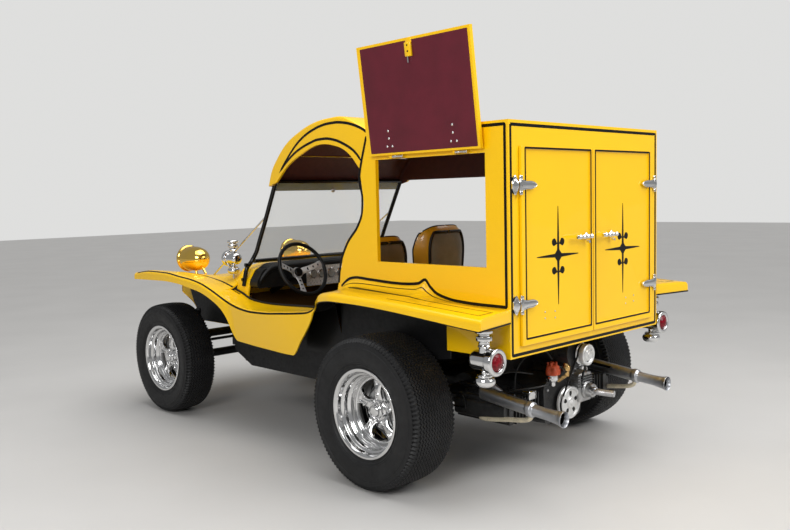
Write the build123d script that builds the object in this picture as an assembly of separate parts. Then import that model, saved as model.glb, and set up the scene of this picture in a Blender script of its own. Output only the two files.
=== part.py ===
"""Dune buggy with a C-shaped cab opening and a cargo box over an open rear engine.

Millimetres. Pieces are drawn with X forward from the rear axle, Y to the left and Z up from
the ground. save() then shifts them back by mid_x, so that the origin of every written piece
is on the ground under the middle of the whole buggy.
"""
from build123d import *
import os
from math import atan2, cos, degrees, radians, sin, tan

# Running gear
wheelbase = 2040.0
front_track = 1310.0
rear_tyre_gap = 12.5
front_tyre_radius = 344.0
front_tyre_width = 205.0
front_rim_width = 180.0
rear_tyre_radius = 355.0
rear_tyre_width = 265.0
rear_rim_width = 230.0
bead_radius = 190.0
flange_radius = 208.0
drum_radius = 115.0
drum_width = 50.0
spoke_count = 5
front_cap_reach = 40.0
rear_cap_reach = 63.0
cap_height = 35.0
hub_depth = 22.0
hub_gap = 4.0
backing_gap = 8.0
shaft_radius = 18.0
run_gap = 0.05
kingpin_inset = 155.0
kingpin_y = front_track / 2 - kingpin_inset
kingpin_radius = 11.0
steer_arm = 120.0

# Chassis
pan_front_x = 1480.0
pan_rear_x = 400.0
pan_half_width = 560.0
pan_z = 362.0
pan_slope_x = 1311.0
pan_slope_z = 438.0
pan_side_z = 520.0
pan_wall = 6.0
tunnel_half_width = 80.0
tunnel_height = 130.0
beam_x = wheelbase + 140.0
beam_low_z = 295.0
beam_high_z = 435.0
beam_radius = 27.0
beam_half_length = kingpin_y - 100.0
spring_y = pan_half_width - 60.0

# Body
skin = 8.0
edge_bulge = 8.0
edge_drop = 13.0
side_foot_y = pan_half_width + 2.0
trim_y = pan_half_width + 18.0
side_foot_z = 515.0
body_front_x = 1420.0
nose_x = 2440.0
wing_front_x = nose_x - 105.0
wing_inner_y = pan_half_width - 214.0
nose_low_z = 525.0
cowl_rear_x = 1300.0
wing_joint_x = 460.0
rear_wing_tail_x = -687.0
rear_wing_spread = 299.0
rear_wing_half_width = pan_half_width + rear_wing_spread
mound_share = 0.396
line_share = 0.653
flange_low_z = 800.0

# Cargo box
box_overhang = 49.0
box_half_width = pan_half_width + box_overhang
box_rear_x = -640.0
box_front_x = 203.0
box_top_z = 1636.0
box_bottom_z = 643.0
box_wall = 20.0
box_floor_z = 820.0
box_skirt_x = -285.0
rear_track = 2 * (box_half_width + rear_tyre_gap) + rear_tyre_width
hatch_front_x = 154.0
hatch_rear_x = -517.0
hatch_bottom_z = 1023.0
hatch_top_z = 1507.0

# Rear doors
door_half_width = box_half_width - 69.0
door_top_z = 1529.0
door_bottom_z = 690.0
door_lap = 12.0
door_proud = 12.0
door_gap = 6.0
door_middle_gap = 20.0
door_seal = 1.5
recess_middle_y = 22.5
recess_border = 30.5
recess_low = 33.4
recess_high = 11.4
recess_depth = 8.0
hinge_y = door_half_width + 12.0
hinge_upper_z = 1367.0
hinge_lower_z = 868.0
hinge_pin_radius = 6.0
latch_z = 1133.0

# Side hatch
hatch_hinge_y = box_half_width + 15.0
hatch_hinge_z = 1517.0
hatch_height = 511.0
hatch_thickness = 18.0
hatch_seat = 13.0
hatch_open_angle = 173.0
hatch_pin_radius = 4.0
hatch_knuckle_radius = 7.0

# Canopy
canopy_rear_half_width = box_half_width - 9.0
canopy_front_half_width = pan_half_width - 47.0
canopy_front_x = 1150.0
canopy_skin = 12.0
header_y = 43.0 - canopy_front_half_width
header_z = 1435.0

# Windscreen
screen_top_x = 1112.0
screen_top_z = 1388.0
screen_foot_x = 1345.0
screen_foot_z = 960.0
screen_half_width = canopy_front_half_width - 5.0
screen_bar = 16.0
glass_thickness = 6.0

# Cab
wheel_x = 1100.0
driver_y = pan_half_width - 298.0
wheel_y = driver_y + 61.0
wheel_z = 924.0
wheel_radius = 162.0
wheel_rim_radius = 11.0
column_tilt = 26.0
column_radius = 19.0
dash_x = 1225.0
driver_back_x = 440.0
driver_top_z = 1120.0
passenger_back_x = 495.0
passenger_y = 270.0 - pan_half_width
passenger_top_z = 1160.0
seat_width = 0.75 * pan_half_width
seat_back_width = seat_width - 100.0

# Engine and exhaust
crank_z = 331.0
crank_pulley_x = -527.0
crank_pulley_radius = 84.0
alternator_z = 573.0
alternator_front_x = -555.0
alternator_radius = 61.0
exhaust_y = 443.0
exhaust_front_x = -350.0
exhaust_front_z = 429.0
exhaust_collar_x = -618.0
exhaust_collar_z = 401.0
exhaust_tip_x = -793.0
exhaust_tip_z = 391.0

# Lamps
headlamp_x = 2210.0
headlamp_y = wing_inner_y + 79.0
headlamp_z = 953.0
headlamp_radius = 86.0
headlamp_depth = 190.0
cowl_lamp_x = 1535.0
cowl_lamp_y = pan_half_width - 5.0
cowl_lamp_z = 1002.0
cowl_lamp_scale = 0.9
tail_lamp_x = -640.0
tail_lamp_y = rear_wing_half_width - 169.0
tail_lamp_z = 643.0

tip_lean = 1.8
tail_x = exhaust_tip_x - tip_lean
mid_x = (nose_x + tail_x) / 2
LEFT, RIGHT = 1, -1
SIDES = (("left", LEFT), ("right", RIGHT))


# Helpers
def save(name, shape):
    """Shift a piece to the buggy's own origin and write it."""
    export_step(Pos(-mid_x, 0, 0) * shape, "parts/" + name + ".step")


def block(x_low, x_high, y_low, y_high, z_low, z_high):
    """A box between two corners."""
    size = (x_high - x_low, y_high - y_low, z_high - z_low)
    centre = ((x_low + x_high) / 2, (y_low + y_high) / 2, (z_low + z_high) / 2)
    return Pos(*centre) * Box(*size)


def bar(start, end, radius):
    """A round bar between two points."""
    start, end = Vector(*start), Vector(*end)
    span = end - start
    return Plane(origin=start, z_dir=span) * Pos(0, 0, span.length / 2) * Cylinder(radius, span.length)


def corner_radius(before, corner, after, wanted):
    """The wanted fillet, limited to what the two runs beside the corner leave room for."""
    run_in, run_out = corner - before, after - corner
    turn = radians(run_in.get_angle(run_out))
    if wanted == 0 or turn < 1e-3:
        return 0
    room = 0.49 * min(run_in.length, run_out.length)
    return min(wanted, room / tan(turn / 2))


def outline(corners):
    """A closed flat face through (u, v, fillet radius) corners."""
    points = [Vector(u, v) for u, v, _ in corners]
    count = len(points)
    radii = [
        corner_radius(points[i - 1], points[i], points[(i + 1) % count], corners[i][2])
        for i in range(count)
    ]
    return make_face(FilletPolyline(*points, radius=radii, close=True).edges())


def across(corners, y_low, y_high):
    """An outline in X and Z drawn in from y_high to y_low."""
    return Pos(0, y_high, 0) * Rot(90, 0, 0) * extrude(outline(corners), amount=y_high - y_low)


def lengthwise(corners, x_low, x_high):
    """An outline in Y and Z drawn out from x_low to x_high."""
    return Plane.YZ.offset(x_low) * extrude(outline(corners), amount=x_high - x_low)


def upright(corners, z_low, z_high):
    """An outline in X and Y drawn up from z_low to z_high."""
    return Pos(0, 0, z_low) * extrude(outline(corners), amount=z_high - z_low)


def turned(corners):
    """A solid turned about the Y axis from an outline in radius and Y."""
    return revolve(outline(corners), Axis.Y)


def both(shape):
    """A piece and its mirror image on the other side."""
    return shape + mirror(shape, Plane.XZ)


def sided(shape, side):
    """A piece drawn on the left, or its mirror image on the right."""
    return shape if side == LEFT else mirror(shape, Plane.XZ)


def smooth(rows, x, column):
    """A table column's value at x, by a cubic through the rows that never overshoots them."""
    places = [row[0] for row in rows]
    values = [row[column] for row in rows]
    if x <= places[0] or x >= places[-1]:
        return values[0] if x <= places[0] else values[-1]
    slopes = [(values[i + 1] - values[i]) / (places[i + 1] - places[i]) for i in range(len(rows) - 1)]

    def tangent(i):
        """Slope of the curve at row i, level where the rows turn back."""
        if i == 0 or i == len(rows) - 1:
            return slopes[0 if i == 0 else -1]
        before, after = slopes[i - 1], slopes[i]
        return 0.0 if before * after <= 0 else 2 * before * after / (before + after)

    i = max(k for k in range(len(rows) - 1) if places[k] <= x)
    run = places[i + 1] - places[i]
    t = (x - places[i]) / run
    start, end = values[i], values[i + 1]
    return (
        start * (1 + 2 * t) * (1 - t) ** 2 + end * t * t * (3 - 2 * t)
        + run * (tangent(i) * t * (1 - t) ** 2 - tangent(i + 1) * t * t * (1 - t)))


def stations(x_low, x_high, *tables):
    """Places from x_low to x_high at the tables' rows, and between rows that lie far apart."""
    nearest, farthest = 14.0, 110.0
    rows = sorted({float(row[0]) for table in tables for row in table})
    chosen = [x_low]
    for x in [x for x in rows if x_low < x < x_high] + [x_high]:
        if x < x_high and (x - chosen[-1] < nearest or x_high - x < nearest):
            continue
        gap = x - chosen[-1]
        parts = max(1, round(gap / farthest))
        start = chosen[-1]
        chosen += [start + gap * k / parts for k in range(1, parts + 1)]
    return chosen


def backed(line, thickness):
    """A closed section: a line of (y, z) points and its back, one thickness to its right."""
    points = [Vector(y, z) for y, z in line]
    normals = []
    for a, b in zip(points, points[1:]):
        along = (b - a).normalized()
        normals.append(Vector(along.Y, -along.X))
    back = [points[0] + normals[0] * thickness]
    for point, before, after in zip(points[1:], normals, normals[1:]):
        middle = (before + after).normalized()
        back.append(point + middle * (thickness / max(middle.dot(before), 0.45)))
    back.append(points[-1] + normals[-1] * thickness)
    return [(p.X, p.Y) for p in points] + [(p.X, p.Y) for p in reversed(back)]


def lofted(section, places):
    """A ruled solid through the closed (y, z) sections that section(x) gives."""
    faces = []
    for x in places:
        corners = [Vector(x, y, z) for y, z in section(x)]
        faces.append(make_face(Polyline(*corners, close=True).edges()))
    return loft(faces, ruled=True)


# Wheels
def tyre(radius, width, rim_width):
    """A hollow road tyre with a flat tread, bulged sidewalls and square beads."""
    wall = 12.0
    bead_y = rim_width / 2 - 10
    tread_y = width / 2 - 16
    bulge_radius = bead_radius + 0.48 * (radius - bead_radius)
    right = [
        (bead_radius, bead_y, 0),
        (bead_radius + 26, bead_y + 2, 0),
        (bulge_radius, width / 2, 60),
        (radius - 22, tread_y + 12, 0),
        (radius - 5, tread_y, 0),
    ]
    inner = [
        (radius - wall, tread_y - 12, 0),
        (bulge_radius, width / 2 - wall, 50),
        (bead_radius, bead_y - 16, 0),
    ]
    outside = right + [(radius, 0, 0)] + [(r, -y, f) for r, y, f in reversed(right)]
    inside = [(r, -y, f) for r, y, f in reversed(inner)] + inner
    return turned(outside + inside)


def rim(width, cap_reach):
    """A deep dished rim with slotted spokes and a stepped centre cap, facing +Y."""
    half = width / 2
    lip = 7.0
    metal = 5.0
    drop_radius = bead_radius - 28
    seat_y = half - 40
    barrel = turned([
        (bead_radius - metal, half - lip, 0),
        (flange_radius - 8, half, 3),
        (flange_radius, half, 2),
        (flange_radius, half - lip, 2),
        (bead_radius + 4, half - lip, 0),
        (bead_radius, half - lip - 1, 0),
        (bead_radius, seat_y, 0),
        (drop_radius, seat_y - 22, 8),
        (drop_radius, 30 - seat_y, 8),
        (bead_radius, -seat_y, 0),
        (bead_radius, 1 + lip - half, 0),
        (bead_radius + 4, lip - half, 0),
        (flange_radius, lip - half, 2),
        (flange_radius, -half, 2),
        (flange_radius - 8, -half, 3),
        (bead_radius - metal, lip - half, 0),
        (bead_radius - metal, -seat_y, 0),
        (drop_radius - metal, 30 - seat_y, 6),
        (drop_radius - metal, seat_y - 22, 6),
        (bead_radius - metal, seat_y, 0),
    ])
    hub_y = half - cap_reach - cap_height
    disc_outer_y = hub_y + 6
    spoke_depth = 16.0
    disc = turned([
        (0, hub_y, 0),
        (52, hub_y, 8),
        (100, disc_outer_y + 6, 30),
        (drop_radius - metal + 0.5, disc_outer_y - 8, 0),
        (drop_radius - metal + 0.5, disc_outer_y - 8 - spoke_depth, 0),
        (100, disc_outer_y + 6 - spoke_depth, 20),
        (52, hub_y - hub_depth, 8),
        (0, hub_y - hub_depth, 0),
    ])
    window = window_cut(72, drop_radius - metal - 8, 30, half)
    slot = window_cut(80, drop_radius - metal - 22, 6, half)
    step = 360 / spoke_count
    for index in range(spoke_count):
        disc -= Rot(0, index * step + step / 2, 0) * window
        disc -= Rot(0, index * step, 0) * slot
    cap = turned([
        (0, hub_y - 1, 0),
        (38, hub_y - 1, 0),
        (36, hub_y + 16, 4),
        (24, hub_y + 22, 3),
        (18, hub_y + cap_height, 5),
        (0, hub_y + cap_height, 0),
    ])
    return barrel + disc + cap


def window_cut(inner, outer, spread, reach):
    """A wedge-shaped hole through a wheel's disc, spread wide at its outer end."""
    narrow = spread * inner / outer * 0.8
    face = outline([
        (inner, -narrow, min(narrow, 8) * 0.9),
        (outer, -spread, min(spread, 12) * 0.9),
        (outer, spread, min(spread, 12) * 0.9),
        (inner, narrow, min(narrow, 8) * 0.9),
    ])
    return Pos(0, reach, 0) * Rot(90, 0, 0) * extrude(face, amount=2 * reach)


def drum(hub_face_y):
    """A brake drum behind the wheel disc, bored for its shaft."""
    body = turned([
        (shaft_radius + run_gap, hub_face_y, 0),
        (drum_radius - 20, hub_face_y, 0),
        (drum_radius, hub_face_y - 16, 4),
        (drum_radius, hub_face_y - drum_width, 0),
        (drum_radius - 10, hub_face_y - drum_width, 0),
        (drum_radius - 10, hub_face_y - 12, 0),
        (45, hub_face_y - 12, 0),
        (45, hub_face_y - drum_width + 8, 0),
        (shaft_radius + run_gap, hub_face_y - drum_width + 8, 0),
    ])
    return body


def hub_back(rim_width, cap_reach):
    """How far the back of a wheel's hub lies outside the wheel's middle."""
    return rim_width / 2 - cap_reach - cap_height - hub_depth


def wheel_set(axle_x, track, radius, width, rim_width, cap_reach):
    """Tyre, rim and drum of a left wheel in place."""
    place = Pos(axle_x, track / 2, radius)
    hub_back_y = hub_back(rim_width, cap_reach)
    return (
        place * tyre(radius, width, rim_width),
        place * rim(rim_width, cap_reach),
        place * drum(hub_back_y),
    )


# Chassis
def tray_profile(inset):
    """Corners in X and Z of the floor tray, or of its inside."""
    rise = (pan_slope_z - pan_z) / (pan_front_x - pan_slope_x)
    top_z = pan_side_z + (1 if inset else 0)
    return [
        (pan_rear_x + inset, pan_z + inset, 0),
        (pan_slope_x, pan_z + inset, 0),
        (pan_front_x - inset, pan_slope_z + inset - inset * rise, 0),
        (pan_front_x - inset, top_z, 0),
        (pan_rear_x + inset, top_z, 0),
    ]


def floor_pan():
    """Pressed floor tray with its raised front and the centre tunnel."""
    tray = across(tray_profile(0), -pan_half_width, pan_half_width)
    tray -= across(tray_profile(pan_wall), pan_wall - pan_half_width, pan_half_width - pan_wall)
    tunnel = lengthwise([
        (-tunnel_half_width, pan_z + pan_wall / 2, 0),
        (-tunnel_half_width, pan_z + tunnel_height, 50),
        (tunnel_half_width, pan_z + tunnel_height, 50),
        (tunnel_half_width, pan_z + pan_wall / 2, 0),
    ], pan_rear_x + pan_wall, pan_front_x - pan_wall)
    return tray + (tunnel & across(tray_profile(0), -pan_half_width, pan_half_width))


def frame():
    """Frame head to the front beam, and the rear torsion tube with its fork and damper towers."""
    head_low_z, head_high_z = 330.0, 412.0
    head = across([
        (pan_slope_x, pan_z, 0),
        (1400, head_low_z, 0),
        (beam_x, head_low_z, 0),
        (beam_x, head_high_z, 0),
        (1600, head_high_z, 0),
        (pan_front_x, pan_slope_z, 0),
    ], -230, 230)
    taper_x = beam_x - beam_radius - 40
    head &= upright([
        (pan_slope_x, -230, 0), (taper_x, -120, 0), (beam_x, -120, 0),
        (beam_x, 120, 0), (taper_x, 120, 0), (pan_slope_x, 230, 0),
    ], head_low_z, pan_slope_z)
    for tube_z in (beam_low_z, beam_high_z):
        head -= bar((beam_x, -200, tube_z), (beam_x, 200, tube_z), beam_radius)
    torsion = bar((320, -spring_y, 375), (320, spring_y, 375), 38)
    link = block(320, pan_rear_x, -90, 90, 345, 405)
    fork = both(bar((320, 175, 352), (0, 200, 292), 22) + bar((0, 200, 292), (-90, 200, 292), 22))
    damper_tower = both(across([
        (345, 340, 10), (345, 400, 10), (-60, 655, 10), (-90, 640, 10),
        (-90, 610, 10), (150, 420, 60), (285, 345, 10),
    ], spring_y - 8, spring_y))
    return head + torsion + link + fork + damper_tower


def kingpin_bar(z_low, z_high, radius):
    """An upright round bar on the left kingpin's line."""
    return bar((wheelbase, kingpin_y, z_low), (wheelbase, kingpin_y, z_high), radius)


def front_beam():
    """Two cross tubes, their towers, the trailing arms, dampers and kingpins."""
    beam = Part()
    for tube_z in (beam_low_z, beam_high_z):
        beam += bar((beam_x, -beam_half_length, tube_z), (beam_x, beam_half_length, tube_z), beam_radius)
    tower_top_z = 620.0
    tower = across([
        (beam_x - 45, beam_low_z - 40, 10),
        (beam_x - 45, beam_high_z + 40, 20),
        (beam_x - 70, tower_top_z, 10),
        (beam_x - 20, tower_top_z, 10),
        (beam_x + 40, beam_high_z + 30, 20),
        (beam_x + 40, beam_low_z - 40, 10),
    ], beam_half_length, beam_half_length + 10)
    damper_y = beam_half_length + 21
    damper = bar((beam_x - 45, damper_y, tower_top_z - 14), (beam_x - 70, damper_y, beam_low_z + 6), 14)
    arms = Part()
    for tube_z in (beam_low_z, beam_high_z):
        arms += across([
            (beam_x + 26, tube_z - 22, 18),
            (beam_x + 26, tube_z + 22, 18),
            (wheelbase - 16, tube_z + 14, 8),
            (wheelbase - 16, tube_z - 14, 8),
        ], beam_half_length + 10, beam_half_length + 34)
    carrier = across([
        (wheelbase - 18, beam_low_z - 14, 8),
        (wheelbase - 18, beam_high_z + 14, 8),
        (wheelbase + 18, beam_high_z + 14, 8),
        (wheelbase + 18, beam_low_z - 14, 8),
    ], beam_half_length + 34, beam_half_length + 58)
    for lug_z in (beam_low_z + 4, beam_high_z - 16):
        lug = upright([
            (wheelbase - 18, beam_half_length + 57, 0),
            (wheelbase - 18, kingpin_y + 18, 17),
            (wheelbase + 18, kingpin_y + 18, 17),
            (wheelbase + 18, beam_half_length + 57, 0),
        ], lug_z - 12, lug_z + 12)
        carrier += lug
    carrier += kingpin_bar(beam_low_z, beam_high_z - 10, kingpin_radius)
    return beam + both(tower + damper + arms + carrier)


def knuckle():
    """Left steering knuckle: kingpin barrel, spindle, backing plate and steering arm."""
    low_z = beam_low_z + 17
    high_z = beam_high_z - 29
    hub_back_y = front_track / 2 + hub_back(front_rim_width, front_cap_reach)
    plate_y = hub_back_y - drum_width - backing_gap

    def axle_bar(y_low, y_high, radius):
        """A round bar on the wheel's own axle line."""
        return bar((wheelbase, y_low, front_tyre_radius), (wheelbase, y_high, front_tyre_radius), radius)

    barrel = kingpin_bar(low_z, high_z, 24)
    spindle = axle_bar(kingpin_y, hub_back_y - hub_gap, shaft_radius)
    plate = axle_bar(plate_y - 4, plate_y, drum_radius + 3)
    arm = across([
        (wheelbase, high_z - 20, 0),
        (wheelbase, high_z - 2, 0),
        (wheelbase - steer_arm - 14, high_z - 2, 6),
        (wheelbase - steer_arm - 14, high_z - 20, 6),
    ], kingpin_y - 12, kingpin_y + 12)
    stud = Pos(-steer_arm, 0, 0) * kingpin_bar(high_z - 4, high_z + 46, 8)
    bore = kingpin_bar(low_z - 1, high_z + 1, kingpin_radius + run_gap)
    return barrel + spindle + plate + arm + stud - bore


def track_rod():
    """Rod between the two steering arms, with a bored eye over each arm's stud."""
    rod_z = beam_high_z - 29 + 32
    rod_x = wheelbase - steer_arm
    rod = bar((rod_x, -kingpin_y, rod_z), (rod_x, kingpin_y, rod_z), 9)
    for y in (-kingpin_y, kingpin_y):
        rod += bar((rod_x, y, rod_z - 11), (rod_x, y, rod_z + 11), 18)
        rod -= bar((rod_x, y, rod_z - 12), (rod_x, y, rod_z + 12), 8 + run_gap)
    return rod


def rear_axle():
    """Gearbox, swing axle tubes, spring plates, dampers, backing plates and axle stubs."""
    z = rear_tyre_radius
    hub_back_y = rear_track / 2 + hub_back(rear_rim_width, rear_cap_reach)
    stub_end_y = hub_back_y - hub_gap
    plate_y = hub_back_y - drum_width - backing_gap
    gearbox = bar((-95, 0, z), (95, 0, z), 120)
    gearbox += bar((90, 0, z + 10), (270, 0, z + 10), 62)
    side = bar((0, 100, z), (0, 165, z), 75)
    tube = bar((0, 160, z), (0, plate_y - 4, z), 34)
    stub = bar((0, plate_y - 5, z), (0, stub_end_y, z), shaft_radius)
    plate = bar((0, plate_y - 4, z), (0, plate_y, z), drum_radius + 3)
    spring_plate = across([
        (320, 345, 10), (320, 405, 10), (0, z + 40, 12), (-100, z, 12), (0, z - 40, 12),
    ], spring_y, spring_y + 8)
    damper_y = spring_y + 30
    damper = bar((-80, damper_y, z - 30), (-75, damper_y, 640), 22)
    foot = bar((-80, spring_y + 8, z), (-80, damper_y, z), 12)
    head = bar((-75, spring_y, 632), (-75, damper_y, 632), 8)
    pad = block(-80, -50, 90, 178, 282, 302)
    return gearbox + both(side + tube + stub + plate + spring_plate + damper + foot + head + pad)


# Body
EDGE = (
    # x, crest_inset, crest_z, lip_inset, lip_z: insets are from rear_wing_half_width
    (-700, 18, 846, 0, 795),
    (100, 21, 889, 2, 850),
    (220, 23, 891, 4, 851),
    (310, 42, 882, 23, 842),
    (360, 57, 872, 39, 832),
    (400, 85, 858, 67, 822),
    (460, 121, 836, 104, 806),
    (500, 149, 807, 134, 780),
    (547, 163, 777, 157, 748),
    (561, 157, 768, 153, 713),
    (597, 153, 757, 151, 658),
    (659, 147, 750, 153, 584),
    (704, 142, 746, 157, 526),
    (727, 140, 744, 159, 512),
    (770, 137, 741, 159, 512),
    (940, 132, 729, 159, 518),
    (1050, 132, 727, 158, 523),
    (1150, 132, 735, 158, 529),
    (1248, 132, 755, 157, 534),
    (1265, 132, 760, 139, 600),
    (1285, 132, 766, 123, 657),
    (1335, 131, 784, 113, 716),
    (1420, 129, 816, 109, 760),
    (1540, 127, 853, 107, 799),
    (1650, 126, 872, 106, 816),
    (1780, 124, 884, 104, 834),
    (1945, 124, 899, 104, 842),
    (2130, 124, 900, 104, 839),
    (2335, 124, 878, 107, 834),
)
TRIM = (
    # x, z along the cockpit's padded edge
    (460, 872),
    (490, 840),
    (520, 800),
    (560, 768),
    (600, 757),
    (782, 751),
    (961, 745),
    (1080, 743),
    (1198, 748),
    (1277, 758),
    (1347, 783),
    (1420, 803),
)
JOINT = (
    # x, z where the rear wing's flange ends on the box side, with a pointed ogee
    (-700, 864),
    (-479, 865),
    (-337, 872),
    (-278, 882),
    (-230, 896),
    (-188, 925),
    (-157, 955),
    (-115, 936),
    (-61, 930),
    (5, 928),
    (212, 936),
    (306, 941),
    (359, 933),
    (437, 883),
    (460, 872),
)
HOOD = (
    # x, side_z, mound_z, line_z across the front wing at its inner edge, mound and crease
    (1420, 938, 912, 808),
    (1540, 912, 893, 842),
    (1650, 891, 872, 864),
    (1780, 866, 868, 879),
    (1945, 842, 862, 887),
    (2130, 822, 850, 886),
    (2335, 800, 828, 868),
)


def body_edge(x):
    """Crest, outer edge and lip of the body at one station."""
    crest_inset, crest_z, lip_inset, lip_z = [smooth(EDGE, x, column) for column in (1, 2, 3, 4)]
    crest_y, lip_y = rear_wing_half_width - crest_inset, rear_wing_half_width - lip_inset
    drop = min(edge_drop, (crest_z - lip_z) / 2)
    return [(crest_y, crest_z), (max(crest_y + edge_bulge, lip_y), crest_z - drop), (lip_y, lip_z)]


def side_line(x):
    """Side of the tub: up the cockpit wall, over the sill and down outside."""
    trim_z = smooth(TRIM, x, 1)
    edge = body_edge(x)
    waist_y = rear_wing_half_width - max(row[1] for row in EDGE)
    cove_y = trim_y + 0.525 * (waist_y - trim_y)
    cove_z = trim_z + 0.6 * (edge[0][1] - trim_z)
    return [(side_foot_y, side_foot_z), (trim_y, trim_z), (cove_y, cove_z)] + edge


def front_line(x):
    """Front wing: out from the hood over the mound and the crease to the lip."""
    spread = rear_wing_half_width - EDGE[-1][1] - wing_inner_y
    inner = [
        (wing_inner_y + share * spread, smooth(HOOD, x, column))
        for share, column in ((0, 1), (mound_share, 2), (line_share, 3))]
    return inner + body_edge(x)


def rear_line(x):
    """Rear wing: up its flange on the box side, down a cove and out to the lip."""
    joint_z = smooth(JOINT, x, 1)
    edge = body_edge(x)
    joint_room = rear_wing_half_width - smooth(EDGE, wing_joint_x, 1) - box_half_width
    cove = [
        (box_half_width + 0.24 * joint_room, joint_z - 20),
        (box_half_width + 0.667 * joint_room, edge[0][1] + 5)]
    return [(box_half_width, flange_low_z), (box_half_width, joint_z)] + cove + edge


def body_side():
    """One side of the tub, a skin open below, from the front wing to the rear wing."""
    return lofted(lambda x: backed(side_line(x), skin), stations(wing_joint_x, body_front_x, EDGE, TRIM))


def front_wing():
    """One front wing with a short closing face at its front."""
    places = stations(body_front_x, wing_front_x, EDGE, HOOD)
    wing = lofted(lambda x: backed(front_line(x), skin), places)

    def under(x):
        """The same section filled down to the lip's height."""
        line = front_line(x)
        low_z = smooth(EDGE, x, 4)
        depth = smooth(EDGE, x, 2) - low_z
        return line + [(line[2][0], line[2][1] - depth), (line[0][0], line[0][1] - depth)]

    face = lofted(under, [wing_front_x - skin, wing_front_x])
    return wing + face


def rear_wing():
    """One rear wing, cut off slanting at its tail, with the tail's closing wall."""
    tail_end_x = float(EDGE[0][0])
    wing = lofted(lambda x: backed(rear_line(x), skin), stations(tail_end_x, wing_joint_x, EDGE, JOINT))

    def under(x):
        """The wing's outside filled down to its lip."""
        line = rear_line(x)
        return line[1:] + [(box_half_width, line[-1][1])]

    corner_y, wall_y = rear_wing_half_width + 10, box_half_width
    front_x = wing_joint_x + 10
    kept = upright([
        (box_rear_x, wall_y, 0), (rear_wing_tail_x, corner_y, 0),
        (front_x, corner_y, 0), (front_x, wall_y, 0),
    ], box_bottom_z, box_top_z)
    tail = upright([
        (box_rear_x, wall_y, 0), (rear_wing_tail_x, corner_y, 0),
        (rear_wing_tail_x + skin, corner_y, 0), (box_rear_x + skin, wall_y, 0),
    ], box_bottom_z, box_top_z)
    return (wing & kept) + (lofted(under, [tail_end_x, tail_end_x + 100]) & tail)


COWL = (
    # inset from trim_y, z and fillet radius over the scuttle from the tub's wall to the middle
    (17.5, 520, 0),
    (2.5, 770, 0),
    (5, 800, 0),
    (18, 860, 40),
    (58, 930, 40),
    (178, 955, 200),
)
cowl_middle_z = 965.0


def cowl_outline(inset):
    """The scuttle's section, or the section of its inside."""
    foot_z = COWL[0][1]
    left = [
        (trim_y - gap - inset, z - (inset if z > foot_z else 1 if inset else 0), r) for gap, z, r in COWL]
    right = [(-y, z, r) for y, z, r in reversed(left)]
    return left + [(0, cowl_middle_z - inset, 900)] + right


def cowl():
    """Scuttle across the front of the cab with its bulkhead."""
    solid = lengthwise(cowl_outline(0), cowl_rear_x, body_front_x)
    return solid - lengthwise(cowl_outline(skin), cowl_rear_x - 1, body_front_x - skin)


def nose_outline(inset):
    """Corners in X and Z of the nose, or of its inside."""
    places = stations(body_front_x + inset, wing_front_x, HOOD)
    front = nose_x - inset
    top = [(x, smooth(HOOD, x, 1) - inset, 0) for x in places]
    low_z = nose_low_z - (1 if inset else 0)
    chin = [
        (front, nose_low_z + 235 - inset, 35),
        (front, nose_low_z + 181, 8),
        (nose_x - 150, nose_low_z + 115, 60),
        (front - 208, nose_low_z + 53, 40),
        (front - 240, low_z, 0),
    ]
    return [(body_front_x + inset, low_z, 0)] + top + chin


def nose():
    """Hollow nose between the wings, open underneath."""
    shell = across(nose_outline(0), -wing_inner_y, wing_inner_y)
    return shell - across(nose_outline(skin), skin - wing_inner_y, wing_inner_y - skin)


# Cab and box
DOORWAY = (
    # x, z and fillet radius round the C-shaped side opening
    (1140, 1370, 0),
    (905, 1533, 320),
    (640, 1632, 420),
    (395, 1567, 300),
    (262, 1438, 40),
    (240, 1300, 300),
    (262, 1215, 150),
    (385, 1110, 90),
    (458, 860, 0),
    (458, 600, 0),
    (1500, 600, 0),
    (1500, 1370, 0),
)
PILLAR_TOP = (262, 1438)


def canopy():
    """Hollow domed roof over the cab, with the C-shaped opening cut through both sides."""
    seam_x, seam_z = box_front_x, box_top_z
    roof_line = [
        (canopy_front_x, 1400, 0),
        (880, 1682, 450),
        (520, 1754, 600),
        (seam_x, seam_z, 0),
    ]
    reach = box_half_width + 100
    outer = across(roof_line + [(PILLAR_TOP[0] + 6, PILLAR_TOP[1] - 20, 0)], -reach, reach)
    inner = across(roof_inside(), -reach, reach)
    rear, front = canopy_rear_half_width, canopy_front_half_width
    taper_x, end_x = box_front_x - 103, canopy_front_x + 50

    def plan(inset):
        """The roof's outline from above, drawn up past its top."""
        return upright([
            (taper_x - 4 * inset, inset - rear, 0), (end_x + inset, inset - front, 0),
            (end_x + inset, front - inset, 0), (taper_x - 4 * inset, rear - inset, 0),
        ], box_bottom_z, 2 * box_top_z)

    shell = (outer & plan(0)) - (inner & plan(canopy_skin))
    return shell - across(DOORWAY, -reach, reach)


def roof_inside():
    """Corners in X and Z of the canopy's inside."""
    return [
        (canopy_front_x - 26, 1390, 0),
        (872, 1668, 440),
        (520, 1740, 590),
        (box_front_x - 20, box_top_z - 22, 0),
        (box_front_x - 60, 1300, 0),
        (canopy_front_x - 26, 1300, 0),
    ]


def header_board():
    """Flat board under the roof on the right, with a straight lower edge over the seat."""
    board = across(roof_inside(), header_y - 8, header_y)
    return board & block(box_front_x + 8, canopy_front_x, -box_half_width, 0, header_z, 2 * box_top_z)


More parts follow.
